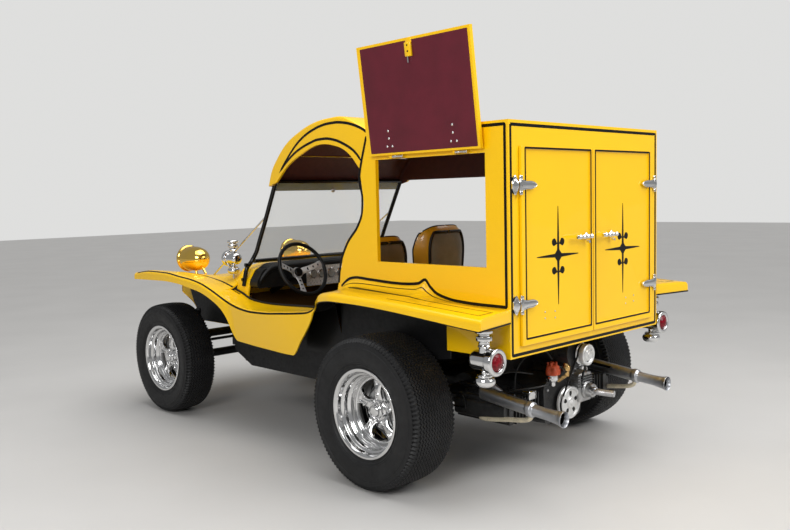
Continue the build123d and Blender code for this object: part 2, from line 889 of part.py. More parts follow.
def box_side_outline():
    """Corners of the box side with the cab's rear pillar in one sheet."""
    pillar = [(x, z, r) for x, z, r in DOORWAY[4:9]]
    return [
        (box_rear_x, box_bottom_z, 0),
        (box_rear_x, box_top_z, 0),
        (box_front_x, box_top_z, 0),
    ] + pillar + [
        (pillar[-1][0], flange_low_z, 0),
        (box_skirt_x, flange_low_z, 0),
        (box_skirt_x, box_bottom_z, 0),
    ]


def box_side(side):
    """One side wall. The left one has the serving hatch's opening."""
    wall = across(box_side_outline(), box_half_width - box_wall, box_half_width)
    if side == LEFT:
        wall -= block(
            hatch_rear_x, hatch_front_x, box_half_width - box_wall - 1, box_half_width + 1,
            hatch_bottom_z, hatch_top_z,
        )
    return sided(wall, side)


def box_shell():
    """Roof, floor and framed rear wall between the two sides."""
    inner = box_half_width - box_wall
    roof = block(box_rear_x, box_front_x, -inner, inner, box_top_z - box_wall, box_top_z)
    floor_x = pan_rear_x + pan_wall + skin
    floor = block(box_rear_x + box_wall, floor_x, -inner, inner, box_floor_z - box_wall, box_floor_z)
    wall = block(box_rear_x, box_rear_x + box_wall, -inner, inner, box_bottom_z, box_top_z - box_wall)
    opening = door_half_width - door_lap
    wall -= block(
        box_rear_x - 1, box_rear_x + box_wall + 1, -opening, opening,
        door_bottom_z + door_lap, door_top_z - door_lap,
    )
    return roof + floor + wall


def rear_door(side):
    """A framed door leaf that laps the opening, with a recessed panel on its face."""
    face_x = box_rear_x - door_seal - door_proud
    leaf = block(face_x, box_rear_x - door_seal, door_gap / 2, door_half_width, door_bottom_z, door_top_z)
    plug = block(
        box_rear_x - door_seal, box_rear_x + box_wall - 2, door_middle_gap / 2,
        door_half_width - door_lap - door_gap,
        door_bottom_z + door_lap + door_gap, door_top_z - door_lap - door_gap,
    )
    recess = block(
        face_x - 1, face_x + recess_depth, recess_middle_y, door_half_width - recess_border,
        door_bottom_z + recess_low, door_top_z - recess_high,
    )
    return sided(leaf + plug - recess, side)


def door_straps(side):
    """Two tapered hinge straps with their barrels and a lever latch on one door."""
    face_x = box_rear_x - door_seal - door_proud
    parts = Part()
    for z in (hinge_upper_z, hinge_lower_z):
        strap = lengthwise([
            (hinge_y - 10, z - 17, 3), (hinge_y - 10, z + 17, 3),
            (hinge_y - 130, z + 9, 8), (hinge_y - 130, z - 9, 8),
        ], face_x - 6, face_x)
        parts += strap
        parts += bar((face_x - 6, hinge_y, z - 17), (face_x - 6, hinge_y, z + 17), 11)
        parts -= bar((face_x - 6, hinge_y, z - 18), (face_x - 6, hinge_y, z + 18), hinge_pin_radius + run_gap)
    lever = block(face_x - 26, face_x - 16, 50, 150, latch_z - 8, latch_z + 8)
    boss = bar((face_x - 18, 130, latch_z), (face_x, 130, latch_z), 15)
    return sided(parts + lever + boss, side)


def hinge_plates():
    """Butterfly hinge plates and pins on the rear wall, and the hatch's fixed knuckles."""
    face_x = box_rear_x
    pin_x = box_rear_x - door_seal - door_proud - 6
    plates = Part()
    for z in (hinge_upper_z, hinge_lower_z):
        plates += block(pin_x - 4, face_x, hinge_y + 14, hinge_y + 50, z - 34, z + 34)
        for end in (-1, 1):
            knuckle_low, knuckle_high = sorted((z + end * 18, z + end * 32))
            plates += bar((pin_x, hinge_y, knuckle_low), (pin_x, hinge_y, knuckle_high), 11)
            plates += block(pin_x - 4, pin_x + 4, hinge_y, hinge_y + 20, knuckle_low, knuckle_high)
        plates += bar((pin_x, hinge_y, z - 32), (pin_x, hinge_y, z + 32), hinge_pin_radius)
    return both(plates) + hatch_hinges(False)


def hatch_hinges(moving):
    """Knuckles on the hatch's hinge line: the hatch's own barrels, or the fixed ones with their pins."""
    parts = Part()
    y, z = hatch_hinge_y, hatch_hinge_z
    reach, gap = 18.0, 2.0
    end = 2 * reach + gap
    for x in (hatch_front_x - 135, hatch_rear_x + 142):
        if moving:
            barrel = bar((x - reach, y, z), (x + reach, y, z), hatch_knuckle_radius)
            leaf = block(x - reach, x + reach, y - 2, y + 5, z - 9, z)
            bore = bar((x - reach, y, z), (x + reach, y, z), hatch_pin_radius + run_gap)
            parts += barrel + leaf - bore
            continue
        parts += bar((x - end, y, z), (x + end, y, z), hatch_pin_radius)
        for low, high in ((x - end, x - reach - gap), (x + reach + gap, x + end)):
            parts += bar((low, y, z), (high, y, z), hatch_knuckle_radius)
            parts += block(low, high, box_half_width, y, z - 6, z + 6)
    return parts


def hatch():
    """Serving hatch, drawn shut and then swung up to where it stands open."""
    low = hatch_hinge_z - hatch_height
    front, rear = hatch_front_x + 15, hatch_rear_x - 2
    face_y = hatch_hinge_y - hatch_seat
    border = 22.0
    panel = block(rear, front, face_y, face_y + hatch_thickness, low, hatch_hinge_z - 8)
    inside = (rear + border, front - border)
    panel -= block(*inside, face_y - 1, face_y + 6, low + border, hatch_hinge_z - 8 - border)
    lining = block(*inside, face_y + 1, face_y + 6, low + border, hatch_hinge_z - 8 - border)
    hinge = Axis((0, hatch_hinge_y, hatch_hinge_z), (1, 0, 0))
    panel += hatch_hinges(True)
    return [piece.rotate(hinge, hatch_open_angle) for piece in (panel, lining)]


def windscreen():
    """Slanted frame with its glass, standing on the scuttle."""
    lean = (screen_foot_x - screen_top_x, screen_foot_z - screen_top_z)
    length = Vector(lean[0], 0, lean[1]).length
    tilt = degrees(atan2(lean[0], -lean[1]))
    post, rail = 26.0, 22.0
    frame = Box(screen_bar, 2 * screen_half_width, length)
    opening = Box(screen_bar + 1, 2 * (screen_half_width - post), length - 2 * rail)
    glass = Box(glass_thickness, 2 * (screen_half_width - post), length - 2 * rail)
    place = Pos(screen_top_x + lean[0] / 2, 0, (screen_top_z + screen_foot_z) / 2) * Rot(0, -tilt, 0)
    scuttle = lengthwise(cowl_outline(0), cowl_rear_x, body_front_x)
    return place * (frame - opening) - scuttle, place * glass - scuttle


def brace_rods(frame, wing):
    """Rods from the windscreen posts to the front wings."""
    rod_y = screen_half_width - 11
    top = (screen_top_x + 93, rod_y, screen_top_z - 152)
    foot = (body_front_x + 366, rod_y, flange_low_z + 66)
    rod = bar(top, foot, 5)
    return both(rod - frame - wing)


def steering_wheel():
    """Padded rim, three drilled spokes and a hub, on the tilted column."""
    ring = Torus(wheel_radius - wheel_rim_radius, wheel_rim_radius)
    dish = 34.0
    boss = Pos(0, 0, -dish) * Cylinder(27, 22)
    wheel = ring + boss
    for angle in (30, 150, 270):
        spoke = Rot(0, 0, angle) * Pos((wheel_radius + 20) / 2 - 8, 0, -dish / 2) * Rot(0, -degrees(
            atan2(dish, wheel_radius - 30)), 0) * Box(wheel_radius - 28, 30, 4)
        wheel += spoke
    return Pos(wheel_x, wheel_y, wheel_z) * Rot(0, -90 + column_tilt, 0) * Rot(0, 0, -90) * wheel


def steering_column():
    """Jacket tube from behind the wheel down to the bulkhead."""
    ahead = Vector(cos(radians(column_tilt)), 0, -sin(radians(column_tilt)))
    hub = Vector(wheel_x, wheel_y, wheel_z)
    start = hub + ahead * 60
    end = hub + ahead * 370
    beyond = block(body_front_x - skin, body_front_x + 200, 0, pan_half_width, side_foot_z, cowl_middle_z)
    return bar(tuple(start), tuple(end), column_radius) - cowl() - beyond


def dash():
    """Dash panel under the scuttle, with a rolled top."""
    wide, shoulder, flat = trim_y - 18, trim_y - 63, trim_y - 178
    panel = lengthwise([
        (-wide, 820, 20), (-wide, 862, 30), (-shoulder, 928, 40), (-flat, 947, 100), (0, 957, 900),
        (flat, 947, 100), (shoulder, 928, 40), (wide, 862, 30), (wide, 820, 20),
    ], dash_x, cowl_rear_x)
    ahead = Vector(cos(radians(column_tilt)), 0, -sin(radians(column_tilt)))
    hub = Vector(wheel_x, wheel_y, wheel_z)
    return panel - bar(tuple(hub), tuple(hub + ahead * 400), column_radius + 1)


def seat(back_x, centre_y, top_z):
    """A bucket seat: moulded shell with flared wings beside its back, and the padded cover."""
    floor_z = pan_z + pan_wall
    wide, narrow = seat_width / 2, seat_back_width / 2
    back = across([
        (back_x, top_z - 20, 30), (back_x + 40, top_z, 20), (back_x + 70, top_z - 30, 20),
        (back_x + 175, 640, 60), (back_x + 330, 690, 80), (back_x + 560, 650, 30), (back_x + 560, 560, 40),
        (back_x + 130, 540, 60), (back_x + 40, 700, 150),
    ], centre_y - wide, centre_y + wide)
    front = lengthwise([
        (centre_y - wide, 500, 0), (centre_y - wide, 680, 60), (centre_y - narrow, 860, 100),
        (centre_y - narrow, top_z + 40, 0), (centre_y + narrow, top_z + 40, 0), (centre_y + narrow, 860, 100),
        (centre_y + wide, 680, 60), (centre_y + wide, 500, 0),
    ], back_x - 10, back_x + 600)
    body = back & front
    wing = across([
        (back_x + 20, top_z - 40, 30), (back_x + 105, top_z - 70, 40), (back_x + 120, 900, 120),
        (back_x + 210, 720, 80), (back_x + 150, 640, 0), (back_x + 60, 700, 0),
    ], narrow - 16, narrow)
    wings = Pos(0, centre_y, 0) * both(wing)
    cut = across([
        (back_x + 40, top_z + 30, 0), (back_x + 60, 760, 140), (back_x + 165, 610, 60),
        (back_x + 330, 655, 80), (back_x + 620, 620, 0), (back_x + 620, top_z + 30, 0),
    ], centre_y - narrow + 16, centre_y + narrow - 16)
    base = block(back_x + 170, back_x + 480, centre_y - wide + 50, centre_y + wide - 50, floor_z, 560)
    shell = body + wings - cut + base
    pad = across([
        (back_x + 42, top_z - 25, 15), (back_x + 75, top_z - 60, 30), (back_x + 120, 760, 160),
        (back_x + 190, 690, 60), (back_x + 340, 730, 90), (back_x + 560, 690, 40), (back_x + 560, 640, 0),
        (back_x + 330, 657, 80), (back_x + 165, 612, 60), (back_x + 62, 760, 140),
    ], centre_y - narrow + 18, centre_y + narrow - 18)
    return shell, pad - shell


# Engine
def engine():
    """Crankcase, finned cylinder banks, heads with their covers, fan housing and alternator."""
    case = lengthwise([
        (-150, 240, 30), (-160, 420, 40), (-90, 480, 30), (90, 480, 30), (160, 420, 40), (150, 240, 30),
    ], -480, -96)
    bank = Part()
    fin_count, fin_step, fin_thickness = 8, 24.0, 6.0
    for start_x in (-455, -285):
        bank += block(start_x, start_x + 110, 150, 380, 300, 390)
        for index in range(fin_count):
            y = 178 + fin_step * index
            bank += block(start_x - 12, start_x + 122, y, y + fin_thickness, 285, 405)
    head = block(-470, -160, 375, 405, 290, 398)
    cover = lengthwise([(404, 300, 0), (404, 384, 0), (436, 378, 22), (436, 308, 22)], -462, -168)
    shroud = lengthwise([
        (-330, 500, 20), (-330, 690, 80), (-160, 790, 80), (160, 790, 80), (330, 690, 80), (330, 500, 20),
        (120, 470, 20), (-120, 470, 20),
    ], -330, -180)
    alternator = bar((-329, 0, alternator_z), (alternator_front_x, 0, alternator_z), 72)
    stand = lengthwise([
        (-60, 479, 0), (-35, alternator_z - 50, 10), (35, alternator_z - 50, 10), (60, 479, 0),
    ], -470, -340)
    filler = bar((-478, 60, 455), (-534, 60, 500), 16)
    return case + both(bank + head + cover) + shroud + alternator + stand + (filler - case)


def grooved_pulley(radius):
    """A V-belt pulley about Y with its front at y = 46 and its back at y = 0."""
    return turned([
        (0, 0, 0), (radius, 0, 0), (radius, 4, 0), (radius - 9, 12, 0), (radius, 20, 0),
        (radius, 25, 2), (30, 25, 0), (24, 46, 3), (0, 46, 0),
    ])


def pulleys():
    """Slotted crank pulley and the alternator's fan and pulley."""
    crank = grooved_pulley(crank_pulley_radius)
    slots = 5
    for index in range(slots):
        crank -= Rot(0, 360 / slots * index, 0) * Pos(52, 14, 0) * Rot(90, 0, 0) * Cylinder(11, 60)
    fan = grooved_pulley(alternator_radius) + bar((0, 46, 0), (0, 62, 0), 20)
    place = Rot(0, 0, 90)
    return (
        Pos(crank_pulley_x + 46, 0, crank_z) * place * crank
        + Pos(alternator_front_x, 0, alternator_z) * place * fan)


def exhaust():
    """Twin pipes from the heads with collars and flared tips."""
    def point(x, z):
        """A point on the left pipe's plane."""
        return (x, exhaust_y, z)

    front = point(exhaust_front_x, exhaust_front_z)
    collar = point(exhaust_collar_x, exhaust_collar_z)
    tip = point(exhaust_tip_x, exhaust_tip_z)
    flare_start = point(exhaust_tip_x + 90, exhaust_tip_z + 5)
    lean = Vector(*tip) - Vector(*flare_start)
    pipe = bar(front, collar, 30)
    collar_front = point(exhaust_collar_x + 10, exhaust_collar_z + 1)
    pipe += bar(collar_front, point(exhaust_collar_x - 14, exhaust_collar_z), 34)
    pipe += bar(collar, point(exhaust_tip_x + 80, exhaust_tip_z + 4), 25)
    tip_plane = Plane(origin=Vector(*flare_start), z_dir=lean)
    flare = tip_plane * Pos(0, 0, lean.length / 2) * Cone(25, 31, lean.length)
    bore = tip_plane * Pos(0, 0, lean.length / 2 + 0.5) * Cone(21, 28, lean.length + 1)
    elbow = bar((exhaust_front_x + 50, exhaust_y - 110, exhaust_front_z + 12), front, 24)
    return both(pipe + flare + elbow - bore)


# Lamps
def lamp():
    """A carriage lamp, its lens at x = 0 facing back: drum, chimney and globe under it."""
    drum_shape = Rot(0, 0, 90) * turned([
        (0, -137, 0), (30, -137, 8), (42, -122, 6), (42, -40, 0), (57, -34, 4), (57, 0, 4),
        (47, 0, 0), (47, -8, 0), (0, -8, 0),
    ])
    stack_x = 62.0
    stack = bar((stack_x, 0, 30), (stack_x, 0, 76), 20)
    stack += bar((stack_x, 0, 75), (stack_x, 0, 90), 53)
    stack += bar((stack_x, 0, 89), (stack_x, 0, 114), 32)
    neck = bar((stack_x, 0, -30), (stack_x, 0, -62), 16)
    ring = bar((stack_x, 0, -58), (stack_x, 0, -66), 34)
    globe = Pos(stack_x, 0, -82) * Sphere(46)
    globe &= block(stack_x - 60, stack_x + 60, -60, 60, -110, -60)
    return drum_shape + stack + neck + ring + globe


def tail_lamps(wing):
    """Rear lamps hung under the rear wings on short posts."""
    post_x = 62.0
    unit = lamp() + bar((post_x, 0, 113), (post_x, 0, 205), 8)
    return both(Pos(tail_lamp_x, tail_lamp_y, tail_lamp_z) * unit - wing)


def front_lamps(wing, hood):
    """Round headlamps on two feet and carriage lamps by the scuttle."""
    shell = Rot(0, 0, -90) * turned([
        (0, -headlamp_depth, 0), (34, -headlamp_depth + 8, 20), (headlamp_radius - 8, -70, 40),
        (headlamp_radius - 8, -22, 0), (headlamp_radius, -18, 3), (headlamp_radius, 0, 3),
        (headlamp_radius - 9, 0, 0), (headlamp_radius - 9, -12, 0), (0, -12, 0),
    ])
    head = Pos(headlamp_x, headlamp_y, headlamp_z) * shell
    for foot_back, foot_drop, top_back, top_drop in ((104, 117, 90, 55), (216, 107, 154, 31)):
        head += bar(
            (headlamp_x - foot_back, headlamp_y, headlamp_z - foot_drop),
            (headlamp_x - top_back, headlamp_y, headlamp_z - top_drop), 9)
    small = scale(lamp(), cowl_lamp_scale)
    stem = bar((62 * cowl_lamp_scale, 0, -140), (62 * cowl_lamp_scale, 0, -110 * cowl_lamp_scale), 6)
    small = Pos(cowl_lamp_x, cowl_lamp_y, cowl_lamp_z) * Rot(0, 0, 180) * (small + stem)
    return both(head - wing - hood) + both(small - wing)


def inner_body():
    """Black bulkhead behind the seats with a wheelhouse panel each side."""
    inner = box_half_width - box_wall
    sheet = 8.0
    wall = lengthwise([
        (-(pan_half_width - pan_wall), pan_z + pan_wall, 0), (-(pan_half_width - pan_wall), pan_side_z, 0),
        (-inner, pan_side_z, 0), (-inner, box_floor_z - box_wall, 0),
        (inner, box_floor_z - box_wall, 0), (inner, pan_side_z, 0),
        (pan_half_width - pan_wall, pan_side_z, 0), (pan_half_width - pan_wall, pan_z + pan_wall, 0),
    ], pan_rear_x + pan_wall, pan_rear_x + pan_wall + sheet)
    wall -= block(
        pan_rear_x - 10, pan_rear_x + 30, -tunnel_half_width, tunnel_half_width,
        pan_z - 30, pan_z + tunnel_height,
    )
    foot_z, house_front_x = pan_side_z + 10, wing_joint_x - 2
    house = across([
        (house_front_x, foot_z, 0), (house_front_x, box_floor_z - box_wall, 0),
        (box_skirt_x, box_floor_z - box_wall, 0), (box_skirt_x, foot_z + 70, 0),
        (house_front_x - 258, foot_z, 60),
    ], inner - sheet, inner)
    return wall + both(house)


def main():
    """Make every piece and write it to parts/."""
    os.makedirs("parts", exist_ok=True)
    front = wheel_set(
        wheelbase, front_track, front_tyre_radius, front_tyre_width, front_rim_width, front_cap_reach)
    rear = wheel_set(0, rear_track, rear_tyre_radius, rear_tyre_width, rear_rim_width, rear_cap_reach)
    wing = front_wing()
    for name, side in SIDES:
        for end, wheel in (("front", front), ("rear", rear)):
            for piece_name, piece in zip(("tyre", "rim", "drum"), wheel):
                save(f"{piece_name}_{end}_{name}", sided(piece, side))
        save("knuckle_" + name, sided(knuckle(), side))
        save("box_side_" + name, box_side(side))
        save("body_side_" + name, sided(body_side(), side))
        save("front_wing_" + name, sided(wing, side))
        save("door_" + name, rear_door(side))
        save("door_fittings_" + name, door_straps(side))
    save("floor_pan", floor_pan())
    save("frame", frame())
    save("front_beam", front_beam())
    save("track_rod", track_rod())
    save("rear_axle", rear_axle())
    save("cowl", cowl())
    save("nose", nose())
    save("rear_wings", both(rear_wing()))
    save("canopy", canopy())
    save("header_board", header_board())
    save("box_shell", box_shell())
    save("inner_body", inner_body())
    save("hinge_plates", hinge_plates())
    panel, lining = hatch()
    save("hatch", panel)
    save("hatch_lining", lining)
    screen, glass = windscreen()
    save("windscreen_frame", screen)
    save("windscreen_glass", glass)
    save("brace_rods", brace_rods(screen, wing))
    save("steering_wheel", steering_wheel())
    save("steering_column", steering_column())
    save("dash", dash())
    for name, back_x, y, top_z in (
            ("left", driver_back_x, driver_y, driver_top_z),
            ("right", passenger_back_x, passenger_y, passenger_top_z)):
        shell, pad = seat(back_x, y, top_z)
        save("seat_shell_" + name, shell)
        save("seat_pad_" + name, pad)
    save("engine", engine())
    save("pulleys", pulleys())
    save("exhaust", exhaust())
    save("tail_lamps", tail_lamps(rear_wing()))
    save("front_lamps", front_lamps(wing, nose()))


main()
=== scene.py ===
# %% [markdown]
# Dune buggy with a cargo box: the looks.
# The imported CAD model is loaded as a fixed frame, and every new surface is worked out with
# numpy in metres in that same frame, so that nothing has to be fitted afterwards.

import bmesh
import bpy
import numpy as np
from mathutils import Matrix, Vector


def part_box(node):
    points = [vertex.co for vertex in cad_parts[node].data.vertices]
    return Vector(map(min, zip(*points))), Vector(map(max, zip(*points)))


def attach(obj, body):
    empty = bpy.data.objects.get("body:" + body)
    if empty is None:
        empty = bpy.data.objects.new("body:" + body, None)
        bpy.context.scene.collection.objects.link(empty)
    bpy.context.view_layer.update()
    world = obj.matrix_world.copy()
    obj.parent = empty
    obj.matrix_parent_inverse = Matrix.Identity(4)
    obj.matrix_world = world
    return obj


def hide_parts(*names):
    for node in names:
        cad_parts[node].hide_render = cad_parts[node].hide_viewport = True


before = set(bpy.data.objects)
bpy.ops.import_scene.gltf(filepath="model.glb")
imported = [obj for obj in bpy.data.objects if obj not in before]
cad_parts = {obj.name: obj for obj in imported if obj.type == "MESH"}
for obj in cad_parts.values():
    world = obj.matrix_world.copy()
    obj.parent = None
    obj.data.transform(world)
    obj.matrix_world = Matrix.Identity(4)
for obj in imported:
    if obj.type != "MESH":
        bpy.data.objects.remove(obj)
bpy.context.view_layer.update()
rear_tyre_low, rear_tyre_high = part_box("tyre_rear_left")
front_tyre_low, front_tyre_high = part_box("tyre_front_left")
AXLE = (rear_tyre_low.x + rear_tyre_high.x) / 2
WHEELBASE = (front_tyre_low.x + front_tyre_high.x) / 2 - AXLE
print("rear axle at x", round(AXLE, 4), "wheelbase", round(WHEELBASE, 4))

# %% [markdown]
# The shapes below are written with x measured from the rear axle, which is how a coachbuilder
# would measure a car. AXLE moves them into the frame when they become a mesh.
#
# A surface is a grid of points: rows run along a path and columns run around a profile. Two
# neighbouring rows and columns make one four-sided face, so all faces come from one index array.

# %% Grids of points into meshes
def spread_grid(*coordinates):
    """A grid of points from arrays of x, y and z that broadcast together."""
    return np.stack(np.broadcast_arrays(*coordinates), axis=-1)


def grid_faces(rows, columns, wrap_rows, wrap_columns):
    """Corner numbers of every face of a grid: (r, c), (r+1, c), (r+1, c+1), (r, c+1)."""
    r = np.arange(rows if wrap_rows else rows - 1)[:, None]
    c = np.arange(columns if wrap_columns else columns - 1)[None, :]
    r_next, c_next = (r + 1) % rows, (c + 1) % columns
    corners = [r * columns + c, r_next * columns + c, r_next * columns + c_next, r * columns + c_next]
    return spread_grid(*corners).reshape(-1, 4)


def linked(name, data):
    """A new object in the scene."""
    obj = bpy.data.objects.new(name, data)
    bpy.context.scene.collection.objects.link(obj)
    return obj


def finish_mesh(name, points, faces, material, body, replaces=(), smooth=60):
    """A mesh object at the origin that rides on a body, with its faces turned outwards."""
    mesh = bpy.data.meshes.new(name)
    mesh.from_pydata([tuple(p) for p in np.asarray(points, float).tolist()], [], faces)
    obj = linked(name, mesh)
    work = bmesh.new()
    work.from_mesh(mesh)
    bmesh.ops.remove_doubles(work, verts=work.verts, dist=1e-6)
    bmesh.ops.recalc_face_normals(work, faces=work.faces)
    work.to_mesh(mesh)
    work.free()
    mesh.materials.append(material)
    mesh.shade_smooth()
    if smooth:
        mesh.set_sharp_from_angle(angle=np.radians(smooth))
    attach(obj, body)
    if replaces:
        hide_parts(*replaces)
    return obj


def placed(points):
    """Points with x from the rear axle, moved into the frame."""
    moved = np.array(points, float)
    moved[..., 0] += AXLE
    return moved


def surface(name, points, material, body="body", wrap_rows=False, replaces=(), smooth=60):
    """A grid of shape (rows, columns, 3) as one piece, with flat ends unless its rows meet."""
    rows, columns = points.shape[:2]
    faces = grid_faces(rows, columns, wrap_rows, True).tolist()
    if not wrap_rows:
        faces.append(list(range(columns))[::-1])
        faces.append(list(range((rows - 1) * columns, rows * columns)))
    return finish_mesh(name, placed(points).reshape(-1, 3), faces, material, body, replaces, smooth)


def merged(name, turned_grids, tubes, material, body="body", replaces=(), smooth=40):
    """Turned grids, closed all round, and tube grids with flat ends as one piece."""
    points, faces, start = [], [], 0
    for grid, all_round in [(g, True) for g in turned_grids] + [(g, False) for g in tubes]:
        rows, columns = grid.shape[:2]
        faces += (grid_faces(rows, columns, all_round, not all_round) + start).tolist()
        if not all_round:
            faces.append([start + k for k in range(columns)][::-1])
            faces.append([start + (rows - 1) * columns + k for k in range(columns)])
        points.append(placed(grid).reshape(-1, 3))
        start += rows * columns
    return finish_mesh(name, np.concatenate(points), faces, material, body, replaces, smooth)


def joined(name, grids, material, body="body", replaces=(), smooth=60):
    """Several tube grids as one piece."""
    return merged(name, [], grids, material, body, replaces, smooth)


def unchanged(points):
    """The same points, for the left side."""
    return points


def mirrored(points):
    """The same points on the other side of the buggy."""
    return points * np.array([1.0, -1.0, 1.0])


def both_sides(grids):
    """Grids of the left side and their mirror images."""
    return list(grids) + [mirrored(grid) for grid in grids]


SIDES = (("left", unchanged), ("right", mirrored))


# %% [markdown]
# Three tools shape nearly everything. `curve` is a cubic through measured rows that never
# overshoots them. `rounded` replaces each corner of a line by an arc-like parabola. `lathe`
# turns a profile round an axis.

# %% Curves, rounded lines and turned shapes
def curve(places, values, x):
    """Cubic through (place, value) rows at every x, each tangent the harmonic mean of its two slopes."""
    places, values = np.asarray(places, float), np.asarray(values, float)
    slopes = np.diff(values) / np.diff(places)
    before, after = slopes[:-1], slopes[1:]
    product = before * after
    inner = np.where(product > 0, 2 * product / np.where(product > 0, before + after, 1), 0)
    tangents = np.concatenate([slopes[:1], inner, slopes[-1:]])
    x = np.clip(np.asarray(x, float), places[0], places[-1])
    i = np.clip(np.searchsorted(places, x, "right") - 1, 0, len(places) - 2)
    run = places[i + 1] - places[i]
    t = (x - places[i]) / run
    start, end = values[i], values[i + 1]
    level = start * (1 + 2 * t) * (1 - t) ** 2 + end * t * t * (3 - 2 * t)
    return level + run * (tangents[i] * t * (1 - t) ** 2 - tangents[i + 1] * t * t * (1 - t))


def rounded(points, radii, steps=6, closed=False):
    """A line of shape (..., corners, k) with each corner cut back by its radius and bridged by
    the parabola (1-t)^2 A + 2t(1-t) corner + t^2 B. Works on many lines at once."""
    points = np.asarray(points, float)
    corners = points.shape[-2]
    t = np.linspace(0, 1, steps)[:, None]
    pieces = []
    for k in range(corners):
        corner = points[..., k, :]
        if radii[k] == 0 or (not closed and k in (0, corners - 1)):
            pieces.append(corner[..., None, :])
            continue
        back = points[..., k - 1, :] - corner
        ahead = points[..., (k + 1) % corners, :] - corner
        back_length = np.linalg.norm(back, axis=-1, keepdims=True)
        ahead_length = np.linalg.norm(ahead, axis=-1, keepdims=True)
        cut = np.minimum(radii[k], 0.49 * np.minimum(back_length, ahead_length))
        a = (corner + back / back_length * cut)[..., None, :]
        b = (corner + ahead / ahead_length * cut)[..., None, :]
        pieces.append((1 - t) ** 2 * a + 2 * t * (1 - t) * corner[..., None, :] + t ** 2 * b)
    return np.concatenate(pieces, axis=-2)


def unit(vectors):
    """Vectors along the last axis, brought to length 1."""
    return vectors / np.linalg.norm(vectors, axis=-1, keepdims=True)


def running_length(line):
    """The length along a line up to each of its points."""
    return np.concatenate([[0], np.cumsum(np.linalg.norm(np.diff(line, axis=0), axis=1))])


def resampled(line, count):
    """A line of points spread evenly by length."""
    length = running_length(line)
    at = np.linspace(0, length[-1], count)
    return np.stack([np.interp(at, length, line[:, k]) for k in range(line.shape[1])], axis=1)


def smooth_path(points, count=60):
    """A path through points by the never-overshooting cubic over their running length."""
    points = np.asarray(points, float)
    length = running_length(points)
    at = np.linspace(0, length[-1], count)
    return np.stack([curve(length, points[:, k], at) for k in range(points.shape[1])], axis=1)


def evenly(path, step=0.012):
    """A polyline with its corners kept and long runs divided."""
    path = np.asarray(path, float)
    length = np.linalg.norm(np.diff(path, axis=0), axis=1)
    parts = [a + (b - a) * np.linspace(0, 1, max(1, int(np.ceil(run / step))), endpoint=False)[:, None]
        for a, b, run in zip(path, path[1:], length)]
    return np.concatenate(parts + [path[-1:]])


def in_plane(points, axis, level):
    """2-D points put on a plane of constant x or y."""
    points = np.asarray(points, float)
    flat = np.full(len(points), level)
    first, second = points[:, 0], points[:, 1]
    return np.stack([flat, first, second] if axis == "x" else [first, flat, second], axis=1)


def plate(outline, axis, levels):
    """An outline repeated at several levels, which makes a plate."""
    return np.stack([in_plane(outline, axis, level) for level in levels])


def closed(profile):
    """A profile whose last point returns to its first."""
    profile = np.asarray(profile, float)
    return np.concatenate([profile, profile[:1]])


def lathe(profile, axis, centre, turns=48):
    """A (radius, along) profile turned about an axis through a centre. Rows go round the axis."""
    profile = np.asarray(profile, float)
    angle = np.linspace(0, 2 * np.pi, turns, endpoint=False)[:, None]
    first, second = {"x": (1, 2), "y": (2, 0), "z": (0, 1)}[axis]
    points = np.zeros((turns, len(profile), 3))
    points[..., first] = profile[:, 0] * np.cos(angle)
    points[..., second] = profile[:, 0] * np.sin(angle)
    points[..., "xyz".index(axis)] = profile[:, 1]
    return points + np.asarray(centre, float)


def turned(rows, axis, centre, turns, steps=4):
    """A turned shape from rows of radius, place along the axis and corner radius."""
    rows = np.asarray(rows, float)
    return lathe(closed(rounded(rows[:, :2], rows[:, 2], steps)), axis, centre, turns)


def disc(radius, low, high, axis, centre, turns):
    """A plain round disc or pin with a pinhole on its axis."""
    return lathe(closed([(0.0003, low), (radius, low), (radius, high), (0.0003, high)]), axis, centre, turns)


def tube(path, radius, sides=16):
    """A round tube along a smooth path. Its section keeps its twist by carrying one side vector."""
    path = np.asarray(path, float)
    along = unit(np.gradient(path, axis=0))
    guide = np.array([0.0, 0.0, 1.0]) if abs(along[:, 2]).max() < 0.9 else np.array([0.0, 1.0, 0.0])
    side = unit(np.cross(along, guide))
    other = np.cross(along, side)
    angle = np.linspace(0, 2 * np.pi, sides, endpoint=False)[None, :, None]
    radius = np.broadcast_to(np.asarray(radius, float), (len(path),))[:, None, None]
    return path[:, None] + radius * (np.cos(angle) * side[:, None] + np.sin(angle) * other[:, None])


def rod(start, end, radius, sides=14):
    """A straight round bar."""
    start, end = np.asarray(start, float), np.asarray(end, float)
    return tube(start + (end - start) * np.linspace(0, 1, 3)[:, None], radius, sides)


# %% [markdown]
# Materials. Each is a small node tree: one main colour, a noise that varies it a little, and a
# bump or roughness at the scale of the real finish. Noise reads Object coordinates, in metres,
# so that a wavelength of 2 mm is a scale of about 500.

